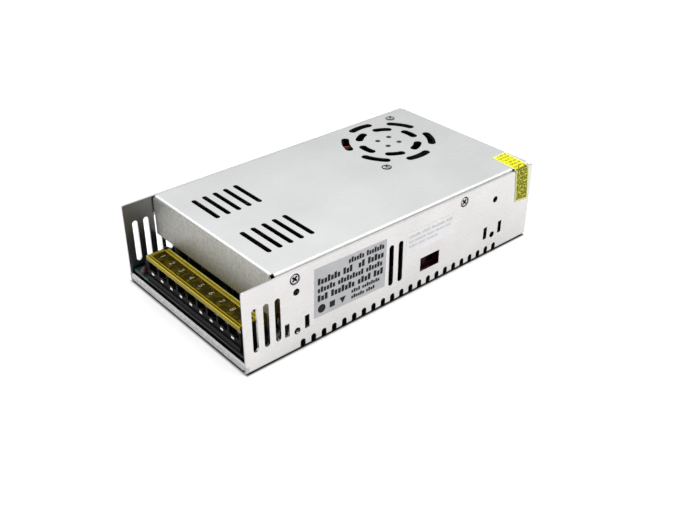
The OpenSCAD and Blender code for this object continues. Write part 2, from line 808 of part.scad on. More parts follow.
module fan_frame() {
    pocket_h = fan_depth - 2 * fan_flange_t;
    color("dimgray") translate([fan_x, fan_y, cover_under]) {
        difference() {
            translate([0, 0, -fan_depth]) linear_extrude(fan_depth) difference() {
                rounded_2d([fan_size, fan_size], fan_hole_edge);
                circle(r = duct_r);
                for (sx = [-1, 1], sy = [-1, 1])
                    translate([sx * fan_pitch / 2, sy * fan_pitch / 2]) circle(d = fan_hole_d);
            }
            translate([0, 0, -fan_depth + fan_flange_t]) linear_extrude(pocket_h) difference() {
                square(fan_size + past, center = true);
                circle(r = duct_r + duct_wall);
            }
            rotate(lead_angle) translate([duct_r - past, -lead_pitch, -strut_top])
                cube([fan_size / 2, 2 * lead_pitch, strut_top + past]);
        }
        difference() {
            union() {
                translate([0, 0, -motor_plate_z - motor_plate_t]) cylinder(h = motor_plate_t, r = hub_r);
                translate([0, 0, -bearing_end]) cylinder(h = bearing_end - motor_plate_z, r = bearing_r);
                for (k = [0 : 3]) rotate(lead_angle + k * 90)
                    translate([hub_r / 2, -strut_w / 2, -strut_top - strut_h])
                        cube([duct_r + duct_wall / 2 - hub_r / 2, strut_w, strut_h]);
            }
            translate([0, 0, -bearing_end - past])
                cylinder(
                    h = bearing_end + past - motor_plate_z - motor_plate_t / 2,
                    d = shaft_d + 2 * shaft_play
                );
            translate([0, 0, -motor_plate_z - motor_plate_t - strut_h]) difference() {
                cylinder(h = strut_h, r = hub_r + tip_gap);
                cylinder(h = strut_h, r = bearing_r);
            }
            rotate(lead_angle) translate([hub_r - lead_bend, -lead_pitch, -strut_top])
                cube([lead_bend + past, 2 * lead_pitch, strut_top]);
        }
    }
}

// One blade: a slice of a tilted tube between the hub and the tip radius
module blade() {
    rise = blade_chord * blade_chord / (8 * blade_camber) + blade_camber / 2;
    tip_r = duct_r - tip_gap;
    length = 2 * tip_r;
    blade_top = hub_top + 1.2;
    blade_bottom = hub_bottom - 0.6;
    intersection() {
        translate([0, 0, -blade_bottom]) linear_extrude(blade_bottom - blade_top) difference() {
            circle(r = tip_r);
            circle(r = hub_r - hub_wall / 2);
        }
        translate([tip_r, 0, -(blade_bottom + blade_top) / 2]) rotate([blade_angle, 0, 0]) intersection() {
            cube([length, blade_chord, 4 * blade_camber], center = true);
            translate([0, 0, blade_camber - rise]) rotate([0, 90, 0]) difference() {
                cylinder(h = length + past, r = rise + blade_t / 2, center = true);
                cylinder(h = length + 2 * past, r = rise - blade_t / 2, center = true);
            }
        }
    }
}

module fan_rotor() {
    color("black") translate([fan_x, fan_y, cover_under]) {
        difference() {
            translate([0, 0, -hub_bottom]) cylinder(h = hub_bottom - hub_top, r = hub_r);
            translate([0, 0, -hub_bottom + hub_wall]) cylinder(h = hub_bottom, r = hub_r - hub_wall);
        }
        translate([0, 0, -hub_bottom]) cylinder(h = hub_bottom - hub_top - touch, d = shaft_d);
        for (k = [0 : blade_count - 1]) rotate(k * 360 / blade_count) blade();
    }
}

module fan_stator() {
    stator_h = bearing_end - motor_plate_z - motor_plate_t - 1.5;
    color("peru") translate([fan_x, fan_y, cover_under - bearing_end + 1])
        linear_extrude(stator_h) difference() {
        circle(r = stator_r);
        circle(r = bearing_r + touch);
        for (k = [0 : 3]) rotate(k * 90 + 45) translate([stator_r - 1.4, 0]) circle(d = stator_r / 2);
    }
}

// One lead: out along the strut, then down into the plug
module fan_lead(offset_y) {
    drop = lead_z - lead_bend - board_top - plug[2];
    translate([fan_x, fan_y, 0]) rotate(lead_angle) translate([0, offset_y, 0]) {
        translate([hub_r - lead_bend, 0, lead_z]) rotate([0, 90, 0])
            cylinder(h = lead_turn - hub_r + lead_bend, d = lead_d);
        translate([lead_turn, 0, lead_z - lead_bend]) rotate([90, 0, 0]) rotate_extrude(angle = 90)
            translate([lead_bend, 0]) circle(d = lead_d);
        translate([plug_r, 0, board_top + plug[2]]) cylinder(h = drop, d = lead_d);
    }
}

module fan_lead_red() {
    color("red") fan_lead(-lead_pitch / 2);
}

module fan_lead_black() {
    color("black") fan_lead(lead_pitch / 2);
}

module fan_plug() {
    color("ivory") translate([plug_x, plug_y, board_top]) rotate(lead_angle + 90) {
        linear_extrude(plug[2] * 0.4) rounded_2d([plug[0], plug[1]], 0.5);
        linear_extrude(plug[2]) rounded_2d([plug[0] - 1.6, plug[1] - 1.6], 0.5);
    }
}

module at_poles() {
    for (k = [0 : poles - 1])
        translate([pole_x, block_y + (k - (poles - 1) / 2) * pole_pitch, pocket_z]) children();
}

// Side view of a barrier: sloped front corner, lower behind for the lid's knuckle
module barrier_2d() {
    slope = rim_w + 1;
    polygon([[block_front + foot_step, board_top], [block_front + foot_step, rim_under - slope],
             [lid_front + slope, barrier_z], [hinge_x - ear_r - lid_play, barrier_z],
             [hinge_x - ear_r - lid_play, back_z], [block_rear, back_z], [block_rear, board_top]]);
}

// Side view of an ear, round about the hinge axis
module ear_2d() {
    translate([hinge_x, hinge_z]) circle(r = ear_r);
    translate([hinge_x - ear_r, board_top]) square([2 * ear_r, hinge_z - board_top]);
}

module terminal_block() {
    back_t = barrier_t;
    color("black") difference() {
        union() {
            translate([0, block_y, 0]) {
                along_y(block_l) {
                    translate([block_front, board_top]) square([block_d, foot_h]);
                    translate([block_front + foot_step, board_top]) square([block_d - foot_step, pocket_h]);
                    translate([block_rear - back_t, board_top]) square([back_t, back_z - board_top]);
                }
                for (k = [1 : poles - 1]) translate([0, (k - poles / 2) * pole_pitch, 0])
                    along_y(barrier_t) barrier_2d();
                for (end = [-1, 1]) translate([0, end * (block_l - ear_t) / 2, 0]) along_y(ear_t) {
                    barrier_2d();
                    ear_2d();
                }
            }
        }
        at_poles() translate([0, 0, -pole_screw_l - past])
            cylinder(h = pole_screw_l + 2 * past, d = pole_bore);
        translate([hinge_x, block_y, hinge_z]) rotate([90, 0, 0])
            cylinder(h = block_l + 2 * past, d = pin_d + 2 * pin_play, center = true);
    }
}

// Plate below each screw, with a narrow tongue bent down over the strip's front
module terminal_plates() {
    body_x = -washer_w / 2 - plate_gap;
    tip_x = block_front + touch - pole_x;
    color("gainsboro") at_poles() difference() {
        union() {
            translate([body_x, -plate_w / 2, 0]) cube([plate_rear - pole_x - body_x, plate_w, plate_t]);
            translate([tip_x, -tongue_w / 2, 0]) cube([body_x - tip_x + touch, tongue_w, plate_t]);
            translate([tip_x, -tongue_w / 2, -tongue_drop])
                cube([foot_step - 2 * touch, tongue_w, tongue_drop + plate_t]);
        }
        translate([0, 0, -past]) cylinder(h = plate_t + 2 * past, d = pole_bore);
    }
}

module terminal_washers() {
    color("silver") at_poles() translate([0, 0, plate_t]) linear_extrude(washer_t) difference() {
        rounded_2d([washer_w, washer_w], 0.8);
        circle(d = pole_bore);
    }
}

module terminal_screws() {
    stack = plate_t + washer_t;
    color("whitesmoke") at_poles() translate([0, 0, stack])
        pan_screw(pole_head_d, pole_head_h, pole_screw_d, stack + pole_screw_l);
}

module terminal_lid() {
    between = block_l - 2 * ear_t - 2 * lid_play;
    color("gold") translate([0, block_y, 0]) {
        difference() {
            along_y(block_l) {
                translate([lid_front, lid_under]) square([lid_rear - lid_front, lid_t]);
                difference() {
                    translate([lid_front, rim_under]) square([rim_w, knuckle_d]);
                    translate([lid_front - touch, lid_top - rim_w / 2 + touch]) square(rim_w / 2);
                }
                translate([lid_front + rim_w / 2, lid_top - rim_w / 2]) circle(d = rim_w);
            }
            translate([lid_front + rim_w, end_rim_w - block_l / 2, lid_top - panel_sink])
                cube([lid_rear - lid_front - rim_w, block_l - 2 * end_rim_w, panel_sink + past]);
        }
        along_y(between) {
            translate([lid_rear - touch, lid_under]) square([hinge_x - lid_rear + touch, lid_t]);
            translate([hinge_x, hinge_z]) circle(d = knuckle_d);
        }
        translate([hinge_x, 0, hinge_z]) rotate([90, 0, 0]) cylinder(h = block_l, d = pin_d, center = true);
    }
}

module circuit_board() {
    color("darkgreen") difference() {
        translate([board_front, near_y, board_z]) cube([board_l, board_w, board_t]);
        for (at = standoff_xy) translate([at[0], at[1], board_z - past])
            cylinder(h = board_t + 2 * past, d = small_screw_d + 4 * screw_play);
    }
}

module insulating_film() {
    film_front = front_x + lip_run;
    film_l = board_rear - film_front;
    color("ivory") translate([0, 0, sheet_t]) linear_extrude(film_t) difference() {
        translate([film_front, -board_w / 2 + base_slot_run]) square([film_l, board_w - 2 * base_slot_run]);
        for (at = standoff_xy) translate(at) circle(d = standoff_d * 1.4);
        for (at = floor_mounts) translate(at) circle(d = mount_d * 2.2);
    }
}

module standoffs() {
    color("goldenrod") for (at = standoff_xy) translate([at[0], at[1], sheet_t]) difference() {
        cylinder(h = standoff_h, d = standoff_d, $fn = 6);
        translate([0, 0, -past]) cylinder(h = standoff_h + 2 * past, d = small_screw_d + 2 * screw_play);
    }
}

module board_screws() {
    color("whitesmoke") for (at = standoff_xy) translate([at[0], at[1], board_top])
        pan_screw(pan_head_d, board_head_h, small_screw_d, board_t + standoff_h / 2);
}

module indicator_led() {
    color("firebrick") translate([led_x, adjuster_y, board_top]) {
        cylinder(h = 1, r = led_d / 2 + led_rim);
        cylinder(h = led_h - led_d / 2, d = led_d);
        translate([0, 0, led_h - led_d / 2]) sphere(d = led_d);
    }
}

module trimmer_body() {
    color("dimgray") translate([trimmer_x, adjuster_y, board_top]) difference() {
        linear_extrude(trimmer[2]) rounded_2d([trimmer[0], trimmer[1]], 0.5);
        translate([0, 0, trimmer[2] - trimmer_pin_l])
            cylinder(h = trimmer_pin_l + past, d = trimmer_pin_d + 2 * pin_play);
    }
}

module trimmer_rotor() {
    lift = 0.3;
    color("gray") translate([trimmer_x, adjuster_y, board_top + trimmer[2] + lift]) difference() {
        union() {
            cylinder(h = trimmer_rotor_h, d = trimmer_rotor_d);
            translate([0, 0, -trimmer_pin_l]) cylinder(h = trimmer_pin_l + touch, d = trimmer_pin_d);
        }
        translate([0, 0, trimmer_rotor_h])
            cube([trimmer_rotor_d * 0.75, recess_w, trimmer_rotor_h], center = true);
    }
}

module selector_body() {
    body_front = selector_front + selector_frame_t;
    body_rear = selector_front + selector_d;
    room_z = selector_z - slider_base[1] / 2 - slider_play;
    color("black") difference() {
        translate([selector_x - selector_w / 2, body_front, board_top])
            cube([selector_w, body_rear - body_front, selector_top - board_top]);
        translate([selector_x - slider_room / 2, body_front - past, room_z])
            cube([slider_room, slider_floor - body_front + past, slider_base[1] + 2 * slider_play]);
    }
}

module selector_frame() {
    color("silver") translate([selector_x, selector_front + selector_frame_t / 2, 0])
        along_y(selector_frame_t)
        difference() {
            translate([-selector_w / 2, board_top]) square([selector_w, selector_top - board_top]);
            translate([0, selector_z]) square([knob[0] + slider_travel + 2 * slider_play,
                                               knob[1] + 2 * slider_play], center = true);
        }
}

module selector_slider() {
    base_front = selector_front + selector_frame_t + slider_play;
    color("darkred") translate([selector_x - slider_travel / 2, 0, selector_z]) {
        translate([-slider_base[0] / 2, base_front, -slider_base[1] / 2])
            cube([slider_base[0], slider_base_d, slider_base[1]]);
        difference() {
            translate([-knob[0] / 2, selector_front, -knob[1] / 2])
                cube([knob[0], base_front + touch - selector_front, knob[1]]);
            translate([-recess_w / 2, selector_front - past, -knob[1]])
                cube([recess_w, past + selector_frame_t, 2 * knob[1]]);
        }
    }
}

module rating_label() {
    color("lightgray") translate([label_at[0], -case_w / 2 - sticker_t / 2, label_at[1]]) along_y(sticker_t)
        rotate(label_tilt) square(label, center = true);
}

module notice_film() {
    color("whitesmoke") translate([notice_at[0], -case_w / 2 - sticker_t / 2, notice_at[1]])
        along_y(sticker_t)
        square(notice, center = true);
}

// Sticker that runs from the cover over the seam and down the wall
module seal_sticker() {
    cover_edge = -cover_w / 2 + (cover_fold_r + cover_t) / 2;
    color("yellow") translate([rear_x - seal_rear, 0, 0]) along_x(seal_w) {
        translate([cover_edge, cover_top]) square([seal_top, sticker_t]);
        translate([-case_w / 2 - sticker_t, wall_h - seal_side]) square([sticker_t, seal_side]);
        polygon([[cover_edge, cover_top], [cover_edge, cover_top + sticker_t],
                 [-case_w / 2 - sticker_t, wall_h + sticker_t], [-case_w / 2 - sticker_t, wall_h],
                 [-case_w / 2, wall_h]]);
    }
}

module input_fuse() {
    color("lightcyan") translate([fuse_x, fuse_y, fuse_z]) rotate([0, 90, 0]) {
        cylinder(h = fuse_l, d = fuse_d - 0.6, center = true);
        for (end = [-1, 1]) translate([0, 0, end * (fuse_l - fuse_cap_l) / 2])
            cylinder(h = fuse_cap_l, d = fuse_d, center = true);
    }
}

module fuse_clips() {
    clip_x = (fuse_l - fuse_cap_l) / 2;
    color("silver") for (end = [-1, 1]) translate([fuse_x + end * clip_x, fuse_y, 0]) difference() {
        translate([-fuse_cap_l / 2, -clip_w / 2, board_top])
            cube([fuse_cap_l, clip_w, fuse_z - board_top + fuse_d * 0.3]);
        translate([0, 0, fuse_z]) rotate([0, 90, 0])
            cylinder(h = fuse_cap_l + past, d = fuse_d + 2 * touch, center = true);
    }
}

module film_capacitor() {
    color("khaki") translate([row_front + film_cap[0] / 2, film_cap_y, board_top]) difference() {
        along_y(film_cap[1]) translate([0, film_cap[2] / 2]) rounded_2d([film_cap[0], film_cap[2]], 1);
        cube([film_cap[0] * 0.6, film_cap[1] + past, 1.6], center = true);
    }
}

// Ring that lies flat, its underside on the origin
module ring_core(d, bore, h) {
    r = 1.2;
    rotate_extrude() translate([(d + bore) / 4, h / 2]) rounded_2d([(d - bore) / 2, h], r);
}

// Turns of round-cornered wire about such a ring
module ring_turns(d, bore, h, wire, turns) {
    inside = [(d - bore) / 2 + 2 * touch, h + 2 * touch];
    for (turn = turns) rotate(turn) translate([(d + bore) / 4, 0, h / 2]) along_y(wire) difference() {
        rounded_2d(inside + 2 * wire * [1, 1], wire);
        rounded_2d(inside, wire / 2);
    }
}

module filter_choke_core() {
    color("darkgreen") translate([filter_x, filter_y, board_top + filter_wire + touch])
        ring_core(filter_d, filter_bore, filter_h);
}

module filter_choke_winding() {
    step = 130 / filter_turns;
    halves = [for (side = [0, 180], k = [0 : filter_turns - 1]) side + (k - (filter_turns - 1) / 2) * step];
    color("peru") translate([filter_x, filter_y, board_top + filter_wire + touch])
        ring_turns(filter_d, filter_bore, filter_h, filter_wire, halves);
}

// Disc on two legs, standing across the case
module leaded_disc(d) {
    color("steelblue") translate([0, 0, lead_h + d / 2]) rotate([0, 90, 0])
        rotate_extrude() intersection() {
            translate([0, -disc_t / 2]) square([d / 2, disc_t]);
            rounded_2d([d, disc_t], disc_t * 0.35);
        }
    for (side = [-1, 1]) translate([0, side * d / 4, 0]) cylinder(h = lead_h + d / 4, d = 0.9);
}

module thermistor() {
    color("darkslategray") translate([disc_x, thermistor_y, board_top]) leaded_disc(thermistor_d);
}

module disc_capacitors() {
    first_y = thermistor_y + thermistor_d / 2 + part_gap + disc_d / 2;
    for (k = [0, 1]) translate([disc_x, first_y + k * (disc_d + part_gap), board_top]) leaded_disc(disc_d);
}

module bridge_rectifier() {
    color("black") translate([bridge_x, bridge_y, board_top]) {
        difference() {
            translate([0, 0, lead_h]) along_y(bridge[1]) polygon([
                [-bridge[0] / 2, 0], [bridge[0] / 2, 0], [bridge[0] / 2, bridge[2]],
                [-bridge[0] / 2 + 3, bridge[2]], [-bridge[0] / 2, bridge[2] - 3]]);
            translate([0, 0, lead_h + bridge[2] * 0.6]) rotate([90, 0, 0])
                cylinder(h = bridge[1] + past, d = 3.6, center = true);
        }
        for (k = [-1.5 : 1.5]) translate([k * bridge[0] / 4.5 - 0.6, -0.5, 0])
            cube([1.2, 1, lead_h + touch]);
    }
}

// Can with a rolled groove near its foot and a dished, scored top
module electrolytic(d, h) {
    rim = d * 0.06;
    difference() {
        rotate_extrude() difference() {
            union() {
                square([d / 2 - rim, h]);
                square([d / 2, h - rim]);
                translate([d / 2 - rim, h - rim]) circle(r = rim);
            }
            translate([d / 2 + rim * 0.3, 2.4 * rim]) circle(r = rim);
            translate([0, h - rim / 3]) square([d / 2 - 1.6 * rim, rim]);
        }
        for (turn = [0, 90]) translate([0, 0, h - rim / 3]) rotate(turn)
            cube([d * 0.6, 0.4, 0.6], center = true);
    }
}

module bulk_capacitors() {
    color("midnightblue") for (x = bulk_xs) translate([x, bulk_y, board_top]) electrolytic(bulk_d, bulk_h);
}

module output_capacitors() {
    color("darkolivegreen") for (k = [0 : output_caps - 1])
        translate([output_cap_x, output_cap_y - k * output_cap_pitch, board_top])
            electrolytic(output_cap_d, output_cap_h);
}

// Plan of a heatsink: back plate along X with fins toward plus Y
module heatsink_2d(l) {
    fins = floor((l - sink_fin_t) / sink_pitch);
    translate([-l / 2, 0]) square([l, sink_t]);
    for (k = [0 : fins]) translate([(k - fins / 2) * sink_pitch - sink_fin_t / 2, sink_t - touch])
        square([sink_fin_t, sink_fin + touch]);
}

// Heatsink of one row of devices, with a tapped hole behind each
module heatsink(l, xs, x, y) {
    difference() {
        translate([x, y, board_top]) linear_extrude(sink_h) heatsink_2d(l);
        for (at = xs) translate([at, y, device_hole_z]) rotate([90, 0, 0])
            cylinder(h = 2 * sink_t, d = small_screw_d + 2 * screw_play, center = true);
    }
}

module primary_heatsink() {
    color("silver") heatsink(primary_l, primary_devices, primary_x, primary_y);
}

module secondary_heatsink() {
    color("silver") heatsink(secondary_l, secondary_devices, device_x, secondary_y);
}

// Power device with its tab's rear face on the origin plane, facing minus Y
module power_device() {
    tab_z = lead_h + device[2];
    difference() {
        union() {
            translate([-device[0] / 2, -device[1], lead_h]) cube([device[0], device[1], device[2]]);
            translate([-device[0] / 2, -device_tab_t, tab_z - touch])
                cube([device[0], device_tab_t, device_tab + touch]);
            for (k = [-1 : 1]) translate([k * device[0] / 4 - 0.5, -device[1] / 2 - 0.3, 0])
                cube([1, 0.6, lead_h + touch]);
        }
        translate([0, 0, tab_z + device_tab / 2]) rotate([90, 0, 0])
            cylinder(h = 4 * device_tab_t, d = small_screw_d + 4 * screw_play, center = true);
    }
}

module power_transistors() {
    color("black") for (x = primary_devices) translate([x, primary_y - pad_t, board_top]) power_device();
}

module output_rectifiers() {
    color("black") for (x = secondary_devices)
        translate([x, secondary_y - pad_t, board_top]) power_device();
}

module at_devices() {
    for (x = primary_devices) translate([x, primary_y - pad_t, device_hole_z]) children();
    for (x = secondary_devices) translate([x, secondary_y - pad_t, device_hole_z]) children();
}

module device_pads() {
    pad = [device[0] + 1, device[2] + device_tab + 0.5];
    hole_up = device_tab / 2 + 0.25;
    color("lightgray") at_devices() translate([0, pad_t / 2, 0]) along_y(pad_t) difference() {
        translate([0, hole_up - pad[1] / 2]) square(pad, center = true);
        circle(d = small_screw_d + 4 * screw_play);
    }
}

module device_screws() {
    head_d = small_screw_d * 2;
    color("whitesmoke") at_devices() translate([0, -device_tab_t, 0]) rotate([90, 0, 0])
        pan_screw(head_d, small_screw_d * 0.6, small_screw_d, device_tab_t + pad_t + sink_t);
}

module transformer_core() {
    color("dimgray") translate([core_x, 0, core_z]) linear_extrude(core_h) difference() {
        square([core_l, core_w], center = true);
        for (side = [-1, 1]) translate([0, side * (core_leg + core_window) / 2])
            square([core_l - 2 * core_yoke, core_window], center = true);
    }
}

// Section across the middle leg, grown by a margin on every side
module leg_2d(margin, r) {
    rounded_2d([core_leg + 2 * margin, core_h + 2 * margin], r);
}

module transformer_bobbin() {
    flange_m = bobbin_t + winding_t + bobbin_t;
    foot_w = core_leg + 2 * winding_t;
    mid_z = core_z + core_h / 2;
    color("black") translate([core_x, 0, mid_z]) difference() {
        union() {
            along_x(bobbin_l) leg_2d(bobbin_t, bobbin_t);
            for (end = [-1, 1]) translate([end * (bobbin_l - bobbin_t) / 2, 0, 0]) along_x(bobbin_t) {
                leg_2d(flange_m, bobbin_t);
                translate([-foot_w / 2, board_top - mid_z]) square([foot_w, core_leg]);
            }
        }
        along_x(bobbin_l + past) leg_2d(touch, touch);
    }
}

module transformer_winding() {
    length = bobbin_l - 2 * bobbin_t - 2 * touch;
    color("goldenrod") translate([core_x, 0, core_z + core_h / 2]) along_x(length) difference() {
        leg_2d(bobbin_t + winding_t, winding_t * 0.6);
        leg_2d(bobbin_t + touch, bobbin_t);
    }
}

module output_choke_core() {
    color("khaki") translate([choke_x, choke_y, board_top + choke_wire + touch])
        ring_core(choke_d, choke_bore, choke_h);
}

module output_choke_winding() {
    turns = [for (k = [0 : choke_turns - 1]) k * 360 / choke_turns];
    color("peru") translate([choke_x, choke_y, board_top + choke_wire + touch])
        ring_turns(choke_d, choke_bore, choke_h, choke_wire, turns);
}

module driver_transformer() {
    base_h = driver[2] * 0.2;
    color("goldenrod") translate([driver_at[0], driver_at[1], board_top]) {
        linear_extrude(base_h) rounded_2d([driver[0], driver[1]], 0.6);
        linear_extrude(driver[2]) rounded_2d([driver[0] * 0.7, driver[1] - 2], 2);
        translate([0, 0, driver[2] * 0.55])
            cube([driver[0], driver[1] * 0.4, driver[2] * 0.7], center = true);
    }
}

module control_chip() {
    stand = 0.6;
    leg_h = stand + chip[2] / 2;
    color("black") translate([chip_at[0], chip_at[1], board_top]) {
        difference() {
            translate([-chip[0] / 2, -chip[1] / 2, stand]) cube(chip);
            translate([-chip[0] / 2, 0, stand + chip[2]]) cylinder(h = 1, d = chip[1] / 3, center = true);
        }
        for (k = [0 : chip_legs - 1], side = [-1, 1])
            translate([(k - (chip_legs - 1) / 2) * chip[0] / chip_legs, side * chip[1] / 2, leg_h / 2])
                cube([0.6, 1.2, leg_h], center = true);
    }
}

module small_capacitors() {
    color("midnightblue") for (at = small_cap_at) translate([at[0], at[1], board_top])
        electrolytic(small_cap_d, small_cap_h);
}

module resistors() {
    wire = 0.8;
    reach = 1;
    color("tan") for (at = resistor_at) translate([at[0], at[1], board_top + lead_h]) {
        rotate([0, 90, 0]) cylinder(h = resistor_l, d = resistor_d, center = true);
        for (end = [-1, 1]) {
            translate([end * (resistor_l / 2 + reach), 0, -lead_h]) cylinder(h = lead_h, d = wire);
            translate([end * resistor_l / 2, 0, 0]) rotate([0, 90, 0])
                cylinder(h = 2 * reach + wire, d = wire, center = true);
        }
    }
}

chassis();
top_cover();
cover_screws();
fan_screws();
fan_frame();
fan_rotor();
fan_stator();
fan_lead_red();
fan_lead_black();
fan_plug();
terminal_block();
terminal_plates();
terminal_washers();
terminal_screws();
terminal_lid();
circuit_board();
insulating_film();
standoffs();
board_screws();
indicator_led();
trimmer_body();
trimmer_rotor();
selector_body();
selector_frame();
selector_slider();
rating_label();
notice_film();
seal_sticker();
input_fuse();
fuse_clips();
film_capacitor();
filter_choke_core();
filter_choke_winding();
thermistor();
disc_capacitors();
bridge_rectifier();
bulk_capacitors();
primary_heatsink();
power_transistors();
transformer_core();
transformer_bobbin();
transformer_winding();
secondary_heatsink();
output_rectifiers();
device_pads();
device_screws();
output_choke_core();
output_choke_winding();
output_capacitors();
driver_transformer();
control_chip();
small_capacitors();
resistors();
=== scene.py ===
"""Looks of an enclosed switching power supply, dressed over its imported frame.

Lengths are in metres in the frame of the solid model, unless a name ends in _mm: the origin is
the middle of the underside, the terminal end faces minus X and the wall with the selector
window faces minus Y.
"""

import logging
import math
from dataclasses import dataclass, replace
from enum import Enum
from typing import ClassVar

import bmesh
import bpy
from mathutils import Matrix, Vector


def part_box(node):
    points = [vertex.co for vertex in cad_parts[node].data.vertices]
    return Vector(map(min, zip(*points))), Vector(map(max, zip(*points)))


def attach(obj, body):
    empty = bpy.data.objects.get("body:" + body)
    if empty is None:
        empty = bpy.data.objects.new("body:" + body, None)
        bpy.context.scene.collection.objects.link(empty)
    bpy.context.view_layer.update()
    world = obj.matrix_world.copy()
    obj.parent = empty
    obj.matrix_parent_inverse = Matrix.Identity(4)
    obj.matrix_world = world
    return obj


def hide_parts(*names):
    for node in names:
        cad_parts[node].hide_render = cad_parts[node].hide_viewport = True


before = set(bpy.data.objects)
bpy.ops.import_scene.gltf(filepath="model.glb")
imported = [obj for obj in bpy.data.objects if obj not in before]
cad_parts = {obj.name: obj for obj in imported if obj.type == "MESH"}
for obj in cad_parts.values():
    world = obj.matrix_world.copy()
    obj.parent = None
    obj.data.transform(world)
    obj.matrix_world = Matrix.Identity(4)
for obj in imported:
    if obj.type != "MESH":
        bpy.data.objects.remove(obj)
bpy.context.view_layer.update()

MM = 0.001
LOG = logging.getLogger("power_supply")

Tree = bpy.types.NodeTree
Node = bpy.types.Node
Socket = bpy.types.NodeSocket
Pair = tuple[float, float]
Colour = tuple[float, float, float, float]
Inputs = dict[str | int, object] | tuple[object, ...]

# Sockets of the Mix node by number, since its colour form and its number form share their names
MIX_FACTOR = 0
MIX_A, MIX_B, MIX_RESULT = 6, 7, 2
MIX_NUMBER_A, MIX_NUMBER_B, MIX_NUMBER_RESULT = 2, 3, 0

# The span of a noise's levels that is drawn out, and the narrower one that leaves specks
NOISE_SPAN = (0.3, 0.7)
SPECK_SPAN = (0.45, 0.6)
# How many finer layers lie on a noise
GRAIN_DETAIL, CLOUD_DETAIL, PRINT_DETAIL = 3.0, 4.0, 1.0
# The depth of a grain as a share of its width
RELIEF_SHARE = 0.25
# The Wave texture's scale that draws one line to a unit of length
WAVE_SCALE = math.pi / 10

# Colours that several pieces share
# Painted shade in the recesses of screws and in the gaps round their heads
RECESS_SHADE = "#121214"
BARE_METAL = "#c9cacc"


class Body(Enum):
    """The bodies that pieces ride on."""

    CASE = "case"
    LID = "terminal_lid"


class Grain(Enum):
    """How a surface grain is drawn out, as a scale on each axis."""

    EVEN = (1.0, 1.0, 1.0)
    ALONG_X = (0.05, 1.0, 1.0)
    ALONG_Z = (1.0, 1.0, 0.05)


def linear(colour: str) -> Colour:
    """Turn an sRGB hex value into linear light.

    Args:
        colour: A hash sign and six hex digits.

    Returns:
        Linear red, green and blue, and an alpha of one.
    """
    parts = [int(colour[k : k + 2], 16) / 255 for k in (1, 3, 5)]
    lights = [p / 12.92 if p <= 0.04045 else ((p + 0.055) / 1.055) ** 2.4 for p in parts]
    return (*lights, 1.0)


def add_node(tree: Tree, kind: str, inputs: Inputs = (), **settings: object) -> Node:
    """Add one shader node with its settings, values and links.

    Args:
        tree: The node tree that gets the node.
        kind: The node's type name.
        inputs: What goes into each input, by name or number or in turn: a value, an output
            socket, or a node that stands for its first output.
        **settings: Properties of the node itself.

    Returns:
        The new node.
    """
    made = tree.nodes.new(kind)
    for name, value in settings.items():
        setattr(made, name, value)
    for key, value in inputs.items() if isinstance(inputs, dict) else enumerate(inputs):
        source = value.outputs[0] if isinstance(value, Node) else value
        if isinstance(source, Socket):
            tree.links.new(source, made.inputs[key])
        else:
            made.inputs[key].default_value = source
    return made


@dataclass(frozen=True)
class Patch:
    """Part of a piece, between places on one or more axes, that shows another material."""

    colour: str
    roughness: float
    spans: tuple[tuple[str, float, float], ...]
    metallic: float = 0.0
    transmission: float = 0.0
    speckle_mm: float = 0.0


@dataclass(frozen=True)
class Bands:
    """Evenly spaced lines across a piece, such as tape edges or turns of wire."""

    colour: str
    pitch_mm: float
    direction: str
    sharpness: float


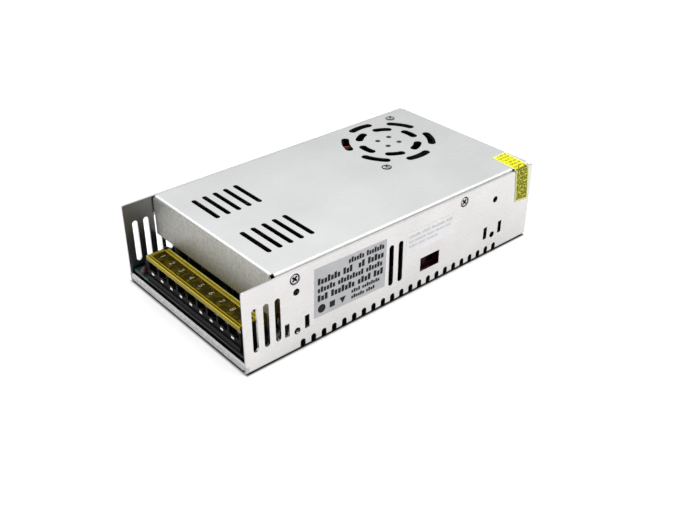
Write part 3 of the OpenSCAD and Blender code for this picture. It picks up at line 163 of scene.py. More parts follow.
@dataclass(frozen=True)
class Finish:
    """A grained surface: two close colours in soft clouds, and a fine grain in gloss and relief."""

    name: str
    colour: str
    shade: str
    roughness: Pair
    grain_mm: float = 0.3
    cloud_mm: float = 12.0
    grain: Grain = Grain.EVEN
    relief: float = 0.15
    metallic: float = 0.0
    specular: float = 0.5
    transmission: float = 0.0
    ior: float = 1.5
    bands: Bands | None = None
    patches: tuple[Patch, ...] = ()

    def material(self) -> bpy.types.Material:
        """Make the material when it is first asked for.

        Returns:
            The material, shared by every piece with this finish.
        """
        made = bpy.data.materials.get(self.name)
        if made is None:
            made = bpy.data.materials.new(self.name)
            made.use_nodes = True
            self.paint(made.node_tree, made.node_tree.nodes["Principled BSDF"])
        return made

    def paint(self, tree: Tree, shader: Node) -> None:
        """Lay the grain, the clouds, the bands and the patches into the shader.

        Args:
            tree: The material's node tree.
            shader: Its Principled shader.
        """
        levels = {"Metallic": self.metallic, "Specular IOR Level": self.specular,
                  "Transmission Weight": self.transmission, "IOR": self.ior}
        for socket, level in levels.items():
            shader.inputs[socket].default_value = level
        place = add_node(tree, "ShaderNodeTexCoord").outputs["Object"]
        drawn = add_node(tree, "ShaderNodeMapping", {"Vector": place, "Scale": self.grain.value})
        grain = add_node(tree, "ShaderNodeTexNoise", {
            "Vector": drawn, "Scale": 1 / (self.grain_mm * MM), "Detail": GRAIN_DETAIL})
        gloss = add_node(tree, "ShaderNodeMapRange", (grain, *NOISE_SPAN, *self.roughness))
        bump = add_node(tree, "ShaderNodeBump", {
            "Height": grain, "Strength": self.relief,
            "Distance": self.grain_mm * MM * RELIEF_SHARE})
        tree.links.new(self.tint(tree, place), shader.inputs["Base Color"])
        tree.links.new(gloss.outputs["Result"], shader.inputs["Roughness"])
        tree.links.new(bump.outputs["Normal"], shader.inputs["Normal"])
        if self.bands:
            waves = add_node(tree, "ShaderNodeTexWave", {
                "Vector": place, "Scale": WAVE_SCALE / (self.bands.pitch_mm * MM)},
                bands_direction=self.bands.direction)
            lines = add_node(tree, "ShaderNodeMapRange", (
                waves.outputs["Fac"], self.bands.sharpness, 1.0))
            self.overlay(tree, shader, "Base Color", lines, self.bands.colour)
        for patch in self.patches:
            self.lay(tree, shader, patch)

    def tint(self, tree: Tree, place: Socket) -> Socket:
        """Mix the finish's two colours in soft clouds.

        Args:
            tree: The material's node tree.
            place: The socket of the place on the piece.

        Returns:
            The socket of the colour.
        """
        cloud = add_node(tree, "ShaderNodeTexNoise", {
            "Vector": place, "Scale": 1 / (self.cloud_mm * MM), "Detail": CLOUD_DETAIL})
        level = add_node(tree, "ShaderNodeMapRange", (cloud, *NOISE_SPAN))
        tones = add_node(tree, "ShaderNodeMix", {
            MIX_FACTOR: level, MIX_A: linear(self.colour), MIX_B: linear(self.shade)},
            data_type="RGBA")
        return tones.outputs[MIX_RESULT]

    def lay(self, tree: Tree, shader: Node, patch: Patch) -> None:
        """Lay a patch of another material over part of the piece.

        Args:
            tree: The material's node tree.
            shader: Its Principled shader.
            patch: The patch.
        """
        place = add_node(tree, "ShaderNodeTexCoord").outputs["Object"]
        split = add_node(tree, "ShaderNodeSeparateXYZ", {"Vector": place})
        mask: float | Node = 1.0
        for axis, low, high in patch.spans:
            inside = add_node(tree, "ShaderNodeMath", (
                split.outputs[axis], (low + high) / 2, (high - low) / 2), operation="COMPARE")
            mask = add_node(tree, "ShaderNodeMath", (inside, mask), operation="MULTIPLY")
        if patch.speckle_mm:
            cloud = add_node(tree, "ShaderNodeTexNoise", {
                "Vector": place, "Scale": 1 / (patch.speckle_mm * MM), "Detail": GRAIN_DETAIL})
            specks = add_node(tree, "ShaderNodeMapRange", (cloud, *SPECK_SPAN))
            mask = add_node(tree, "ShaderNodeMath", (mask, specks), operation="MULTIPLY")
        self.overlay(tree, shader, "Base Color", mask, patch.colour)
        self.overlay(tree, shader, "Roughness", mask, patch.roughness)
        if patch.metallic != self.metallic:
            self.overlay(tree, shader, "Metallic", mask, patch.metallic)
        if patch.transmission != self.transmission:
            self.overlay(tree, shader, "Transmission Weight", mask, patch.transmission)

    def overlay(self, tree: Tree, shader: Node, socket: str, mask: float | Node,
                value: str | float) -> None:
        """Put another colour or value over part of what a socket of the shader shows.

        Args:
            tree: The material's node tree.
            shader: Its Principled shader.
            socket: The name of the shader's socket.
            mask: Where the other colour or value goes.
            value: A hex colour, or a number.
        """
        target = shader.inputs[socket]
        under = target.links[0].from_socket if target.links else target.default_value
        if isinstance(value, str):
            made = add_node(tree, "ShaderNodeMix", {
                MIX_FACTOR: mask, MIX_A: under, MIX_B: linear(value)}, data_type="RGBA")
            result = made.outputs[MIX_RESULT]
        else:
            made = add_node(tree, "ShaderNodeMix", {
                MIX_FACTOR: mask, MIX_NUMBER_A: under, MIX_NUMBER_B: value})
            result = made.outputs[MIX_NUMBER_RESULT]
        tree.links.new(result, target)


# Most real grain here is finer than 0.1 mm, too fine to show, so it is drawn 0.3 to 0.8 mm wide

# Rolled aluminium, satin: soft reflections drawn out along the rolling direction
COVER_SHEET = Finish(
    "rolled_aluminium_cover", "#dddede", "#d4d5d5", (0.2, 0.3), 0.5, 40, Grain.ALONG_X, 0.05, 1.0)
CASE_SHEET = replace(
    COVER_SHEET, name="rolled_aluminium_case", colour="#d8d6d5", shade="#d0cecd", cloud_mm=30)
# Zinc-plated steel: bright, with a fine cloudy bloom
ZINC_STEEL = Finish("zinc_plated_steel", "#d4d6d9", "#b4b7bb", (0.22, 0.36), 0.4, 2, metallic=1.0)
# Turned brass: yellow, with the fine rings of the tool drawn as a soft bloom
TURNED_BRASS = Finish("turned_brass", "#cfae62", "#b8954a", (0.2, 0.34), 0.3, 2, metallic=1.0)
# Extruded aluminium: drawn lines along the profile
HEATSINK_METAL = Finish(
    "extruded_aluminium", BARE_METAL, "#b3b4b7", (0.34, 0.5), 0.4, 8, Grain.ALONG_Z, 0.1, 1.0)
# Phenolic moulding: black, half gloss, with a faint flow pattern
BLACK_PHENOLIC = Finish(
    "black_phenolic_moulded", "#0b0b0d", "#131316", (0.4, 0.52), 0.4, 6, specular=0.2)
# Glass-filled polyester of the fan's housing: black, and darker still as painted shade under the
# grille
FAN_PBT = Finish(
    "black_polyester_fan_housing", "#050506", "#080809", (0.5, 0.62), 0.4, 8, specular=0.05)
# Glass-filled PBT of the rotor: black, dull, slightly grainy
ROTOR_PBT = Finish(
    "rotor_pbt_moulded", "#09090b", "#101013", (0.42, 0.56), 0.35, 5, relief=0.2, specular=0.15)
# Nylon: warm white and slightly cloudy
WHITE_NYLON = Finish("white_nylon_moulded", "#ece8da", "#ddd8c8", (0.35, 0.48), 0.3, 4)
# Dark red plastics of a switch that is set with a screwdriver: smooth slider, grainy frame
RED_ABS = Finish("dark_red_abs_moulded", "#4a0816", "#34050f", (0.35, 0.5), 0.3, 3, specular=0.08)
RED_PBT = Finish(
    "dark_red_pbt_moulded", "#3a0d16", "#2a0910", (0.46, 0.6), 0.35, 5, relief=0.25, specular=0.05)
# Small potentiometer: dark thermoset, with a grey nylon disc to turn
TRIMMER_BLACK = Finish(
    "trimmer_thermoset", "#141519", "#1c1e23", (0.35, 0.5), 0.3, 3, specular=0.25)
TRIMMER_DISC = Finish("trimmer_disc_nylon", "#3c3d40", "#2d2e31", (0.35, 0.5), 0.3, 2, specular=0.3)
# Extruded PVC insulation: even colour and a waxy gloss
RED_PVC = Finish("red_pvc_extruded", "#a5141a", "#8c1015", (0.35, 0.45), 0.3, 5)
BLACK_PVC = Finish("black_pvc_extruded", "#101012", "#18181a", (0.35, 0.45), 0.3, 5, specular=0.2)
# Tinted epoxy of an unlit lamp: dull red that passes some light
LAMP_EPOXY = Finish(
    "red_epoxy_cast", "#74303d", "#5a2430", (0.12, 0.22), 0.5, 3, relief=0.05, specular=0.3,
    transmission=0.3, ior=1.53)
# Black polyester sheet: even and half gloss
POLYESTER_SHEET = Finish(
    "black_polyester_sheet", "#0e0e10", "#151518", (0.35, 0.48), 0.5, 20, specular=0.2)
# Drawn copper under amber enamel, darkened as painted shade inside the case: bands of single turns
ENAMELLED_COPPER = Finish(
    "enamelled_copper_wire", "#5e3319", "#4b2813", (0.34, 0.46), 0.3, 4, metallic=1.0,
    bands=Bands("#2e170a", 0.9, "Z", 0.6))
STATOR_COPPER = Finish(
    "stator_copper_wire", "#b5662f", "#8f4a20", (0.25, 0.4), 0.3, 3, metallic=1.0,
    bands=Bands("#5c2b12", 0.6, "Z", 0.5))
# Sintered ferrite: dark grey, dull and gritty
FERRITE = Finish("sintered_ferrite", "#2b2b2e", "#36363a", (0.5, 0.7), 0.4, 5, relief=0.4)
# Powder-coated ring cores: thick, slightly lumpy coats
GREEN_CORE = Finish("green_coated_ring", "#1f4f33", "#173f28", (0.35, 0.5), 0.8, 5, relief=0.3)
YELLOW_CORE = Finish("yellow_coated_ring", "#c7ae4b", "#b79c3c", (0.35, 0.5), 0.8, 5, relief=0.3)
# Dipped lacquer on discs: glossy, with a soft skin
DARK_LACQUER = Finish("dark_dipped_lacquer", "#1a2220", "#121917", (0.2, 0.34), 0.8, 4, relief=0.3)
BLUE_LACQUER = Finish("blue_dipped_lacquer", "#2450a0", "#1c4288", (0.2, 0.34), 0.8, 4, relief=0.3)
# Polyester tape over a winding: overlapping edges cross it
WINDING_TAPE = Finish(
    "yellow_winding_tape", "#d6a92a", "#c69820", (0.3, 0.44), 0.5, 6,
    bands=Bands("#a97f16", 6.0, "X", 0.93))
# Box of a film capacitor: deep yellow and satin
YELLOW_BOX = Finish(
    "yellow_polypropylene_box", "#8d7420", "#7f681a", (0.36, 0.5), 0.4, 8, specular=0.3)
# Filled silicone pad: soft grey and dull
SILICONE_PAD = Finish("filled_silicone_pad", "#a3a5a8", "#93959a", (0.6, 0.75), 0.3, 4)


class Pieces:
    """What every sub-assembly does with its pieces."""

    def dress(self, finish: Finish, *nodes: str) -> None:
        """Give solid nodes their finish.

        Args:
            finish: The finish.
            *nodes: The nodes' names.
        """
        for node in nodes:
            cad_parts[node].material_slots[0].material = finish.material()
            LOG.info("%s: %s", node, finish.name)

    def keep(self, mesh: bmesh.types.BMesh, name: str, finish: Finish, body: Body,
             slot: str) -> bpy.types.Object:
        """Turn a finished mesh into a piece that rides on a body.

        Args:
            mesh: The mesh, in the shared frame. It is freed.
            name: The piece's name.
            finish: Its finish.
            body: What it moves with.
            slot: The record's material slot; not used.

        Returns:
            The piece.
        """
        bmesh.ops.recalc_face_normals(mesh, faces=mesh.faces)
        data = bpy.data.meshes.new(name)
        mesh.to_mesh(data)
        mesh.free()
        data.materials.append(finish.material())
        piece = bpy.data.objects.new(name, data)
        bpy.context.scene.collection.objects.link(piece)
        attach(piece, body.value)
        LOG.info("%s: %s, %d faces", name, finish.name, len(data.polygons))
        return piece


@dataclass(frozen=True)
class SeatedHead(Finish):
    """A flat screw head with painted shade in its cross and a painted shadow ring where it meets
    its seat.
    """

    centres: tuple[Pair, ...] = ()
    ring_r: float = 2.35 * MM
    cross_r: float = 1.95 * MM
    cross_half: float = 0.6 * MM
    cross_turn: float = math.pi / 4

    def paint(self, tree: Tree, shader: Node) -> None:
        """Lay the metal, then a cross and a ring round each centre.

        Args:
            tree: The material's node tree.
            shader: Its Principled shader.
        """
        super().paint(tree, shader)
        place = add_node(tree, "ShaderNodeTexCoord").outputs["Object"]
        upright = add_node(tree, "ShaderNodeMapping", {"Vector": place, "Scale": (1.0, 0.0, 1.0)})
        ring, cross = 1.0, 0.0
        for x, z in self.centres:
            offset = add_node(tree, "ShaderNodeVectorMath", (upright, (x, 0.0, z)),
                              operation="SUBTRACT")
            reach = add_node(tree, "ShaderNodeVectorMath", (offset,),
                             operation="LENGTH").outputs["Value"]
            rim = add_node(tree, "ShaderNodeMath", (reach, self.ring_r), operation="GREATER_THAN")
            ring = add_node(tree, "ShaderNodeMath", (rim, ring), operation="MULTIPLY")
            turned = add_node(tree, "ShaderNodeMapping", {
                "Vector": offset, "Rotation": (0.0, self.cross_turn, 0.0)})
            arms = add_node(tree, "ShaderNodeSeparateXYZ", {"Vector": turned})
            sides = tuple(
                add_node(tree, "ShaderNodeMath", (arms.outputs[axis],), operation="ABSOLUTE")
                for axis in "XZ")
            aside = add_node(tree, "ShaderNodeMath", sides, operation="MINIMUM")
            slim = add_node(tree, "ShaderNodeMath", (aside, self.cross_half), operation="LESS_THAN")
            near = add_node(tree, "ShaderNodeMath", (reach, self.cross_r), operation="LESS_THAN")
            inside = add_node(tree, "ShaderNodeMath", (slim, near), operation="MULTIPLY")
            cross = add_node(tree, "ShaderNodeMath", (inside, cross), operation="ADD")
        # The cross and the ring round each head are painted shade
        dark = add_node(tree, "ShaderNodeMath", (ring, cross), operation="MAXIMUM")
        self.overlay(tree, shader, "Base Color", dark, RECESS_SHADE)


@dataclass
class Case(Pieces):
    """The folded base, its cover and their screws."""

    skim: float = 0.05 * MM
    lacquer_in: float = 1.25 * MM
    lacquer_h: float = 9.7 * MM
    lip_h: float = 5.4 * MM
    lip_t: float = 1.6 * MM
    bay_l: float = 19.0 * MM
    wall_in: float = 1.5 * MM
    wall_skin: float = 0.4 * MM
    flange_skin: float = 0.5 * MM
    cover_z: float = 50.7 * MM
    punch_in: float = 4.0 * MM
    punch_t: float = 1.2 * MM
    hub_half: float = 9.0 * MM
    head_r: float = 3.1 * MM
    recess_skin: float = 0.12 * MM
    pan_edge: float = 0.55 * MM

    def build(self) -> None:
        """Dress the sheet metal and the screws."""
        self.dress_base()
        self.dress_cover()
        self.dress_screws()

    def dress_base(self) -> None:
        """Dress the base: painted shade inside and on its walls in the terminal bay, worn at its
        lip, with a painted highlight on the lip's top edge.
        """
        low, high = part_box("chassis")
        skin = self.lacquer_in
        # Painted shade: the inner faces of the base near its floor are painted near black
        inside = Patch("#0f0f11", 0.5, (
            ("X", low.x + skin, high.x - skin), ("Y", low.y + skin, high.y - skin),
            ("Z", self.skim, self.lacquer_h)))
        lip = ("X", low.x - MM, low.x + self.lip_t)
        worn = Patch("#bcbdbe", 0.35, (lip, ("Z", 0.0, self.lip_h - self.skim)), 1.0)
        scuffs = replace(worn, colour="#a2a3a4", speckle_mm=1.5)
        # Painted highlight: a white line along the lip's top edge
        edge = Patch("#fafafa", 0.6, (lip, ("Z", self.lip_h - self.skim, self.lip_h + self.skim)))
        # Painted shade: the inner faces of both walls in the terminal bay are painted darker
        bay = ("X", low.x - MM, low.x + self.bay_l)
        skins = (("Y", y - self.wall_skin, y + self.wall_skin)
                 for y in (low.y + self.wall_in, high.y - self.wall_in))
        bay_painted_shade = tuple(Patch("#a2a2a8", 0.35, (bay, wall), 1.0) for wall in skins)
        self.dress(replace(CASE_SHEET, patches=(*bay_painted_shade, worn, scuffs, edge, inside)), "chassis")

    def dress_cover(self) -> None:
        """Dress the cover: dull and darkened as painted shade on its front flange, and painted dark
        as painted shade in its punched slots.
        """
        low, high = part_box("top_cover")
        # The front flange is dull from handling, so it blurs the lid and the floor before it, and
        # its colour is darkened as painted shade, with darker specks
        flange = (("X", low.x - MM, low.x + self.flange_skin),)
        dull_and_painted_shade = Patch("#b7b7b2", 0.5, flange, 1.0)
        scuffs = Patch("#abaaa3", 0.55, flange, 1.0, speckle_mm=1.6)
        # Cut edges of the slots are painted dark as painted shade, but for the drilled holes over
        # the motor, which are grey metal
        cut = ("Z", self.cover_z - self.punch_t, self.cover_z - self.skim)
        painted_slot_shade = Patch("#0e0e10", 0.6, (
            ("X", low.x + self.punch_in, high.x - self.punch_in),
            ("Y", low.y + self.punch_in, high.y - self.punch_in), cut))
        fan_low, fan_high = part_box("fan_frame")
        hub = (fan_low + fan_high) / 2
        drilled = Patch("#9a9b9b", 0.3, (
            ("X", hub.x - self.hub_half, hub.x + self.hub_half),
            ("Y", hub.y - self.hub_half, hub.y + self.hub_half), cut), 1.0)
        self.dress(replace(COVER_SHEET, patches=(dull_and_painted_shade, scuffs, painted_slot_shade, drilled)), "top_cover")

    def dress_screws(self) -> None:
        """Dress the zinc-plated screws, with painted shade in their cross recesses and seats."""
        low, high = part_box("cover_screws")
        # Painted shade on everything of the flat-head screws but their outer faces, such as their
        # cross recesses
        flat = Patch(RECESS_SHADE, 0.6, (("Y", low.y + self.recess_skin, high.y - self.recess_skin),))
        level = (low.z + high.z) / 2
        centres = ((low.x + self.head_r, level), (high.x - self.head_r, level))
        self.dress(SeatedHead(
            "zinc_flat_head", "#d2d4d7", "#b2b5ba", (0.25, 0.4), 0.4, 2, metallic=1.0,
            patches=(flat,), centres=centres), "cover_screws")
        low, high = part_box("fan_screws")
        # Painted shade on everything of the pan-head screws but the top of their heads, such as
        # their cross recesses
        pan = Patch(RECESS_SHADE, 0.6, (("Z", low.z, high.z - self.pan_edge),))
        self.dress(Finish(
            "zinc_pan_head", "#b4b6ba", "#8e9196", (0.25, 0.4), 0.4, 2, metallic=1.0,
            patches=(pan,)), "fan_screws")


@dataclass
class TerminalStrip(Pieces):
    """The screw terminals under their hinged lid, with a number over each terminal."""

    rim_w: float = 2.2 * MM
    rear_rim_w: float = 3.35 * MM
    end_rim_w: float = 1.6 * MM
    panel_sink: float = 0.5 * MM
    edge_w: float = 0.4 * MM
    edge_clear: float = 0.1
    groove: Pair = (0.8 * MM, 1.5 * MM)
    rear_line: Pair = (1.5 * MM, 1.0 * MM)
    glint_l: float = 1.3 * MM
    glint_w: float = 2.6 * MM
    foot_h: float = 3.05 * MM
    tongue_h: float = 1.15 * MM
    tongue_t: float = 0.6 * MM
    figure_h: float = 3.4 * MM
    font_scale: float = 1.4
    figure_rise: float = 0.12 * MM
    figure_x: float = -97.8 * MM
    pole_pitch: float = 9.63 * MM
    poles: int = 9

    def build(self) -> None:
        """Dress the strip and its lid, and raise the numbers on the lid."""
        low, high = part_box("terminal_block")
        # Phenolic moulding: dead black, with its foot painted greyer as painted light
        foot = Patch("#18181b", 0.5, (("Z", low.z, low.z + self.foot_h),))
        self.dress(Finish(
            "phenolic_strip_moulded", "#08080a", "#0f0f12", (0.45, 0.58), 0.4, 6, specular=0.06,
            patches=(foot,)), "terminal_block")
        low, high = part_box("terminal_plates")
        # Tinned brass, bright at the end of each tongue, with the upper part of each tongue's tip
        # painted dark as painted shade
        tongue_painted_shade = Patch("#101012", 0.5, (
            ("X", low.x - MM, low.x + self.tongue_t), ("Z", low.z + self.tongue_h, high.z + MM)))
        self.dress(Finish(
            "tinned_brass_tongues", "#f0eee8", "#d6d3ca", (0.16, 0.3), 0.3, 3, Grain.ALONG_X,
            0.1, 1.0, patches=(tongue_painted_shade,)), "terminal_plates")
        self.dress(ZINC_STEEL, "terminal_washers", "terminal_screws")
        self.dress_lid()

    def dress_lid(self) -> None:
        """Dress the lid as clear amber with olive rims, with painted shade on its panel and painted
        highlights along its edges.
        """
        low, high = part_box("terminal_lid")
        panel = ("X", low.x + self.rim_w, high.x - self.rear_rim_w)
        ends = ("Y", low.y + self.end_rim_w, high.y - self.end_rim_w)
        groove = ("X", *(low.x + inset for inset in self.groove))
        rear_line = ("X", *(high.x - inset for inset in self.rear_line))
        glint = ("X", panel[1] + self.glint_l, panel[1] + 2 * self.glint_l)
        edge = self.edge_w / 2
        clear = self.edge_clear
        middle = (low.y + high.y) / 2
        poles = [middle + (k + 0.5 - self.poles / 2) * self.pole_pitch for k in range(self.poles)]
        # Painted light on the lid: the panel and the near end are painted dark as painted shade,
        # the panel mottled and
        # along the front edge, over the hinge and round the panel are painted highlights
        # given a painted glint of each screw below it; a band along the front rim is painted shade;
        # the bright lines
        patches = (
            Patch("#2c2500", 0.3, (panel, ends)),
            Patch("#4c410a", 0.3, (panel, ends), speckle_mm=2.5),
            *(Patch("#5e520e", 0.3, (glint, ("Y", y - self.glint_w, y))) for y in poles),
            Patch("#463b04", 0.3, (groove, ends)),
            Patch("#3a3104", 0.3, (("Y", low.y - edge, low.y + edge),)),
            Patch("#eed843", 0.2, (("X", low.x, low.x + self.edge_w),), transmission=clear),
            Patch("#f0e38a", 0.2, (rear_line,), transmission=clear),
            *(Patch("#dcc63a", 0.2, (("X", x - edge, x + edge), ends), transmission=clear)
              for x in panel[1:]),
            *(Patch("#cbb530", 0.2, (("Y", y - edge, y + edge), panel), transmission=clear)
              for y in ends[1:]),
        )
        self.dress(Finish(
            "amber_polycarbonate_lid", "#a8951a", "#8c7a0e", (0.1, 0.18), 0.6, 10, relief=0.05,
            specular=0.03, transmission=0.2, ior=1.58, patches=patches), "terminal_lid")
        self.build_figures(poles, high.z - self.panel_sink)

    def build_figures(self, poles: list[float], top: float) -> None:
        """Raise one number over each terminal, read from the terminal end.

        Args:
            poles: The middle of each terminal across the case, the last number first.
            top: The height of the panel's upper face.
        """
        turn = Matrix(((0, 1, 0), (-1, 0, 0), (0, 0, 1))).to_4x4()
        mesh = bmesh.new()
        for number, y in enumerate(reversed(poles), 1):
            curve = bpy.data.curves.new("figure", "FONT")
            curve.body = str(number)
            curve.size = self.figure_h * self.font_scale
            curve.extrude = self.figure_rise
            curve.align_x = "CENTER"
            curve.align_y = "CENTER"
            holder = bpy.data.objects.new("figure", curve)
            flat = bpy.data.meshes.new_from_object(holder)
            flat.transform(Matrix.Translation((self.figure_x, y, top)) @ turn)
            mesh.from_mesh(flat)
            bpy.data.objects.remove(holder)
            bpy.data.curves.remove(curve)
            bpy.data.meshes.remove(flat)
        # Raised figures of the same moulding, frosted so that they catch the light
        frosted = Finish("frosted_amber_figures", "#b5af92", "#a69f7e", (0.45, 0.6), 0.3, 4)
        self.keep(mesh, "lid_figures", frosted, Body.LID, "amber_plastic")


@dataclass
class Adjusters(Pieces):
    """The lamp and the adjuster beside the strip, and the selector behind its window."""

    def build(self) -> None:
        """Dress the lamp, the adjuster and the selector."""
        self.dress(LAMP_EPOXY, "indicator_led")
        self.dress(TRIMMER_BLACK, "trimmer_body")
        self.dress(TRIMMER_DISC, "trimmer_rotor")
        self.dress(BLACK_PHENOLIC, "selector_body")
        self.dress(RED_PBT, "selector_frame")
        self.dress(RED_ABS, "selector_slider")


@dataclass(frozen=True)
class SealPaper(Finish):
    """Printed paper on its own UV map: specks on the wall, rows on the cover, a pale border."""

    field: str = "#7d7b05"
    speck: str = "#e2e245"
    mark: str = "#8a870c"
    border: str = "#f4f6ae"
    crack: str = "#0c0c04"
    size_mm: Pair = (12.4, 41.5)
    fold_mm: float = 22.7
    border_mm: float = 1.25
    row_mm: float = 3.0
    row_share: float = 0.45
    speck_mm: float = 1.35
    crack_half_mm: float = 1.2
    wall_bare: float = 0.55
    cover_bare: float = 0.5
    crack_bare: float = 0.57

    def paint(self, tree: Tree, shader: Node) -> None:
        """Lay the paper, its print, its border and the dark marks along its fold.

        Args:
            tree: The material's node tree.
            shader: Its Principled shader.
        """
        super().paint(tree, shader)
        uv = add_node(tree, "ShaderNodeTexCoord").outputs["UV"]
        sheet = add_node(tree, "ShaderNodeMapping", {"Vector": uv, "Scale": (*self.size_mm, 1.0)})
        level = add_node(tree, "ShaderNodeTexNoise", {
            "Vector": sheet, "Scale": 1 / self.speck_mm, "Detail": PRINT_DETAIL})
        split = add_node(tree, "ShaderNodeSeparateXYZ", {"Vector": sheet})
        along = split.outputs["Y"]
        sides = tuple(
            add_node(tree, "ShaderNodeMath", (
                split.outputs[axis], size / 2, size / 2 - self.border_mm), operation="COMPARE")
            for axis, size in zip("XY", self.size_mm))
        inside = add_node(tree, "ShaderNodeMath", sides, operation="MULTIPLY")
        border = add_node(tree, "ShaderNodeMath", (1.0, inside), operation="SUBTRACT")
        lower = add_node(tree, "ShaderNodeMath", (along, self.fold_mm), operation="LESS_THAN")
        wall = add_node(tree, "ShaderNodeMath", (inside, lower), operation="MULTIPLY")
        cover = add_node(tree, "ShaderNodeMath", (inside, wall), operation="SUBTRACT")
        count = add_node(tree, "ShaderNodeMath", (along, self.row_mm), operation="DIVIDE")
        phase = add_node(tree, "ShaderNodeMath", (count,), operation="FRACT")
        inked = add_node(tree, "ShaderNodeMath", (phase, self.row_share), operation="LESS_THAN")
        rows = add_node(tree, "ShaderNodeMath", (cover, inked), operation="MULTIPLY")
        fold = add_node(tree, "ShaderNodeMath", (along, self.fold_mm, self.crack_half_mm),
                        operation="COMPARE")
        worn = []
        for part, bare in ((wall, self.wall_bare), (rows, self.cover_bare),
                           (fold, self.crack_bare)):
            left = add_node(tree, "ShaderNodeMath", (level, bare), operation="GREATER_THAN")
            worn.append(add_node(tree, "ShaderNodeMath", (part, left), operation="MULTIPLY"))
        speck, mark, crack = worn
        for mask, colour in ((wall, self.field), (speck, self.speck), (mark, self.mark),
                             (border, self.border), (crack, self.crack)):
            self.overlay(tree, shader, "Base Color", mask, colour)


@dataclass(frozen=True)
class PrintRow:
    """One row of blocks that stands for a line of print, in the sheet's own millimetres."""

    left_mm: float
    right_mm: float
    base_mm: float
    height_mm: float
    words: tuple[int, ...]


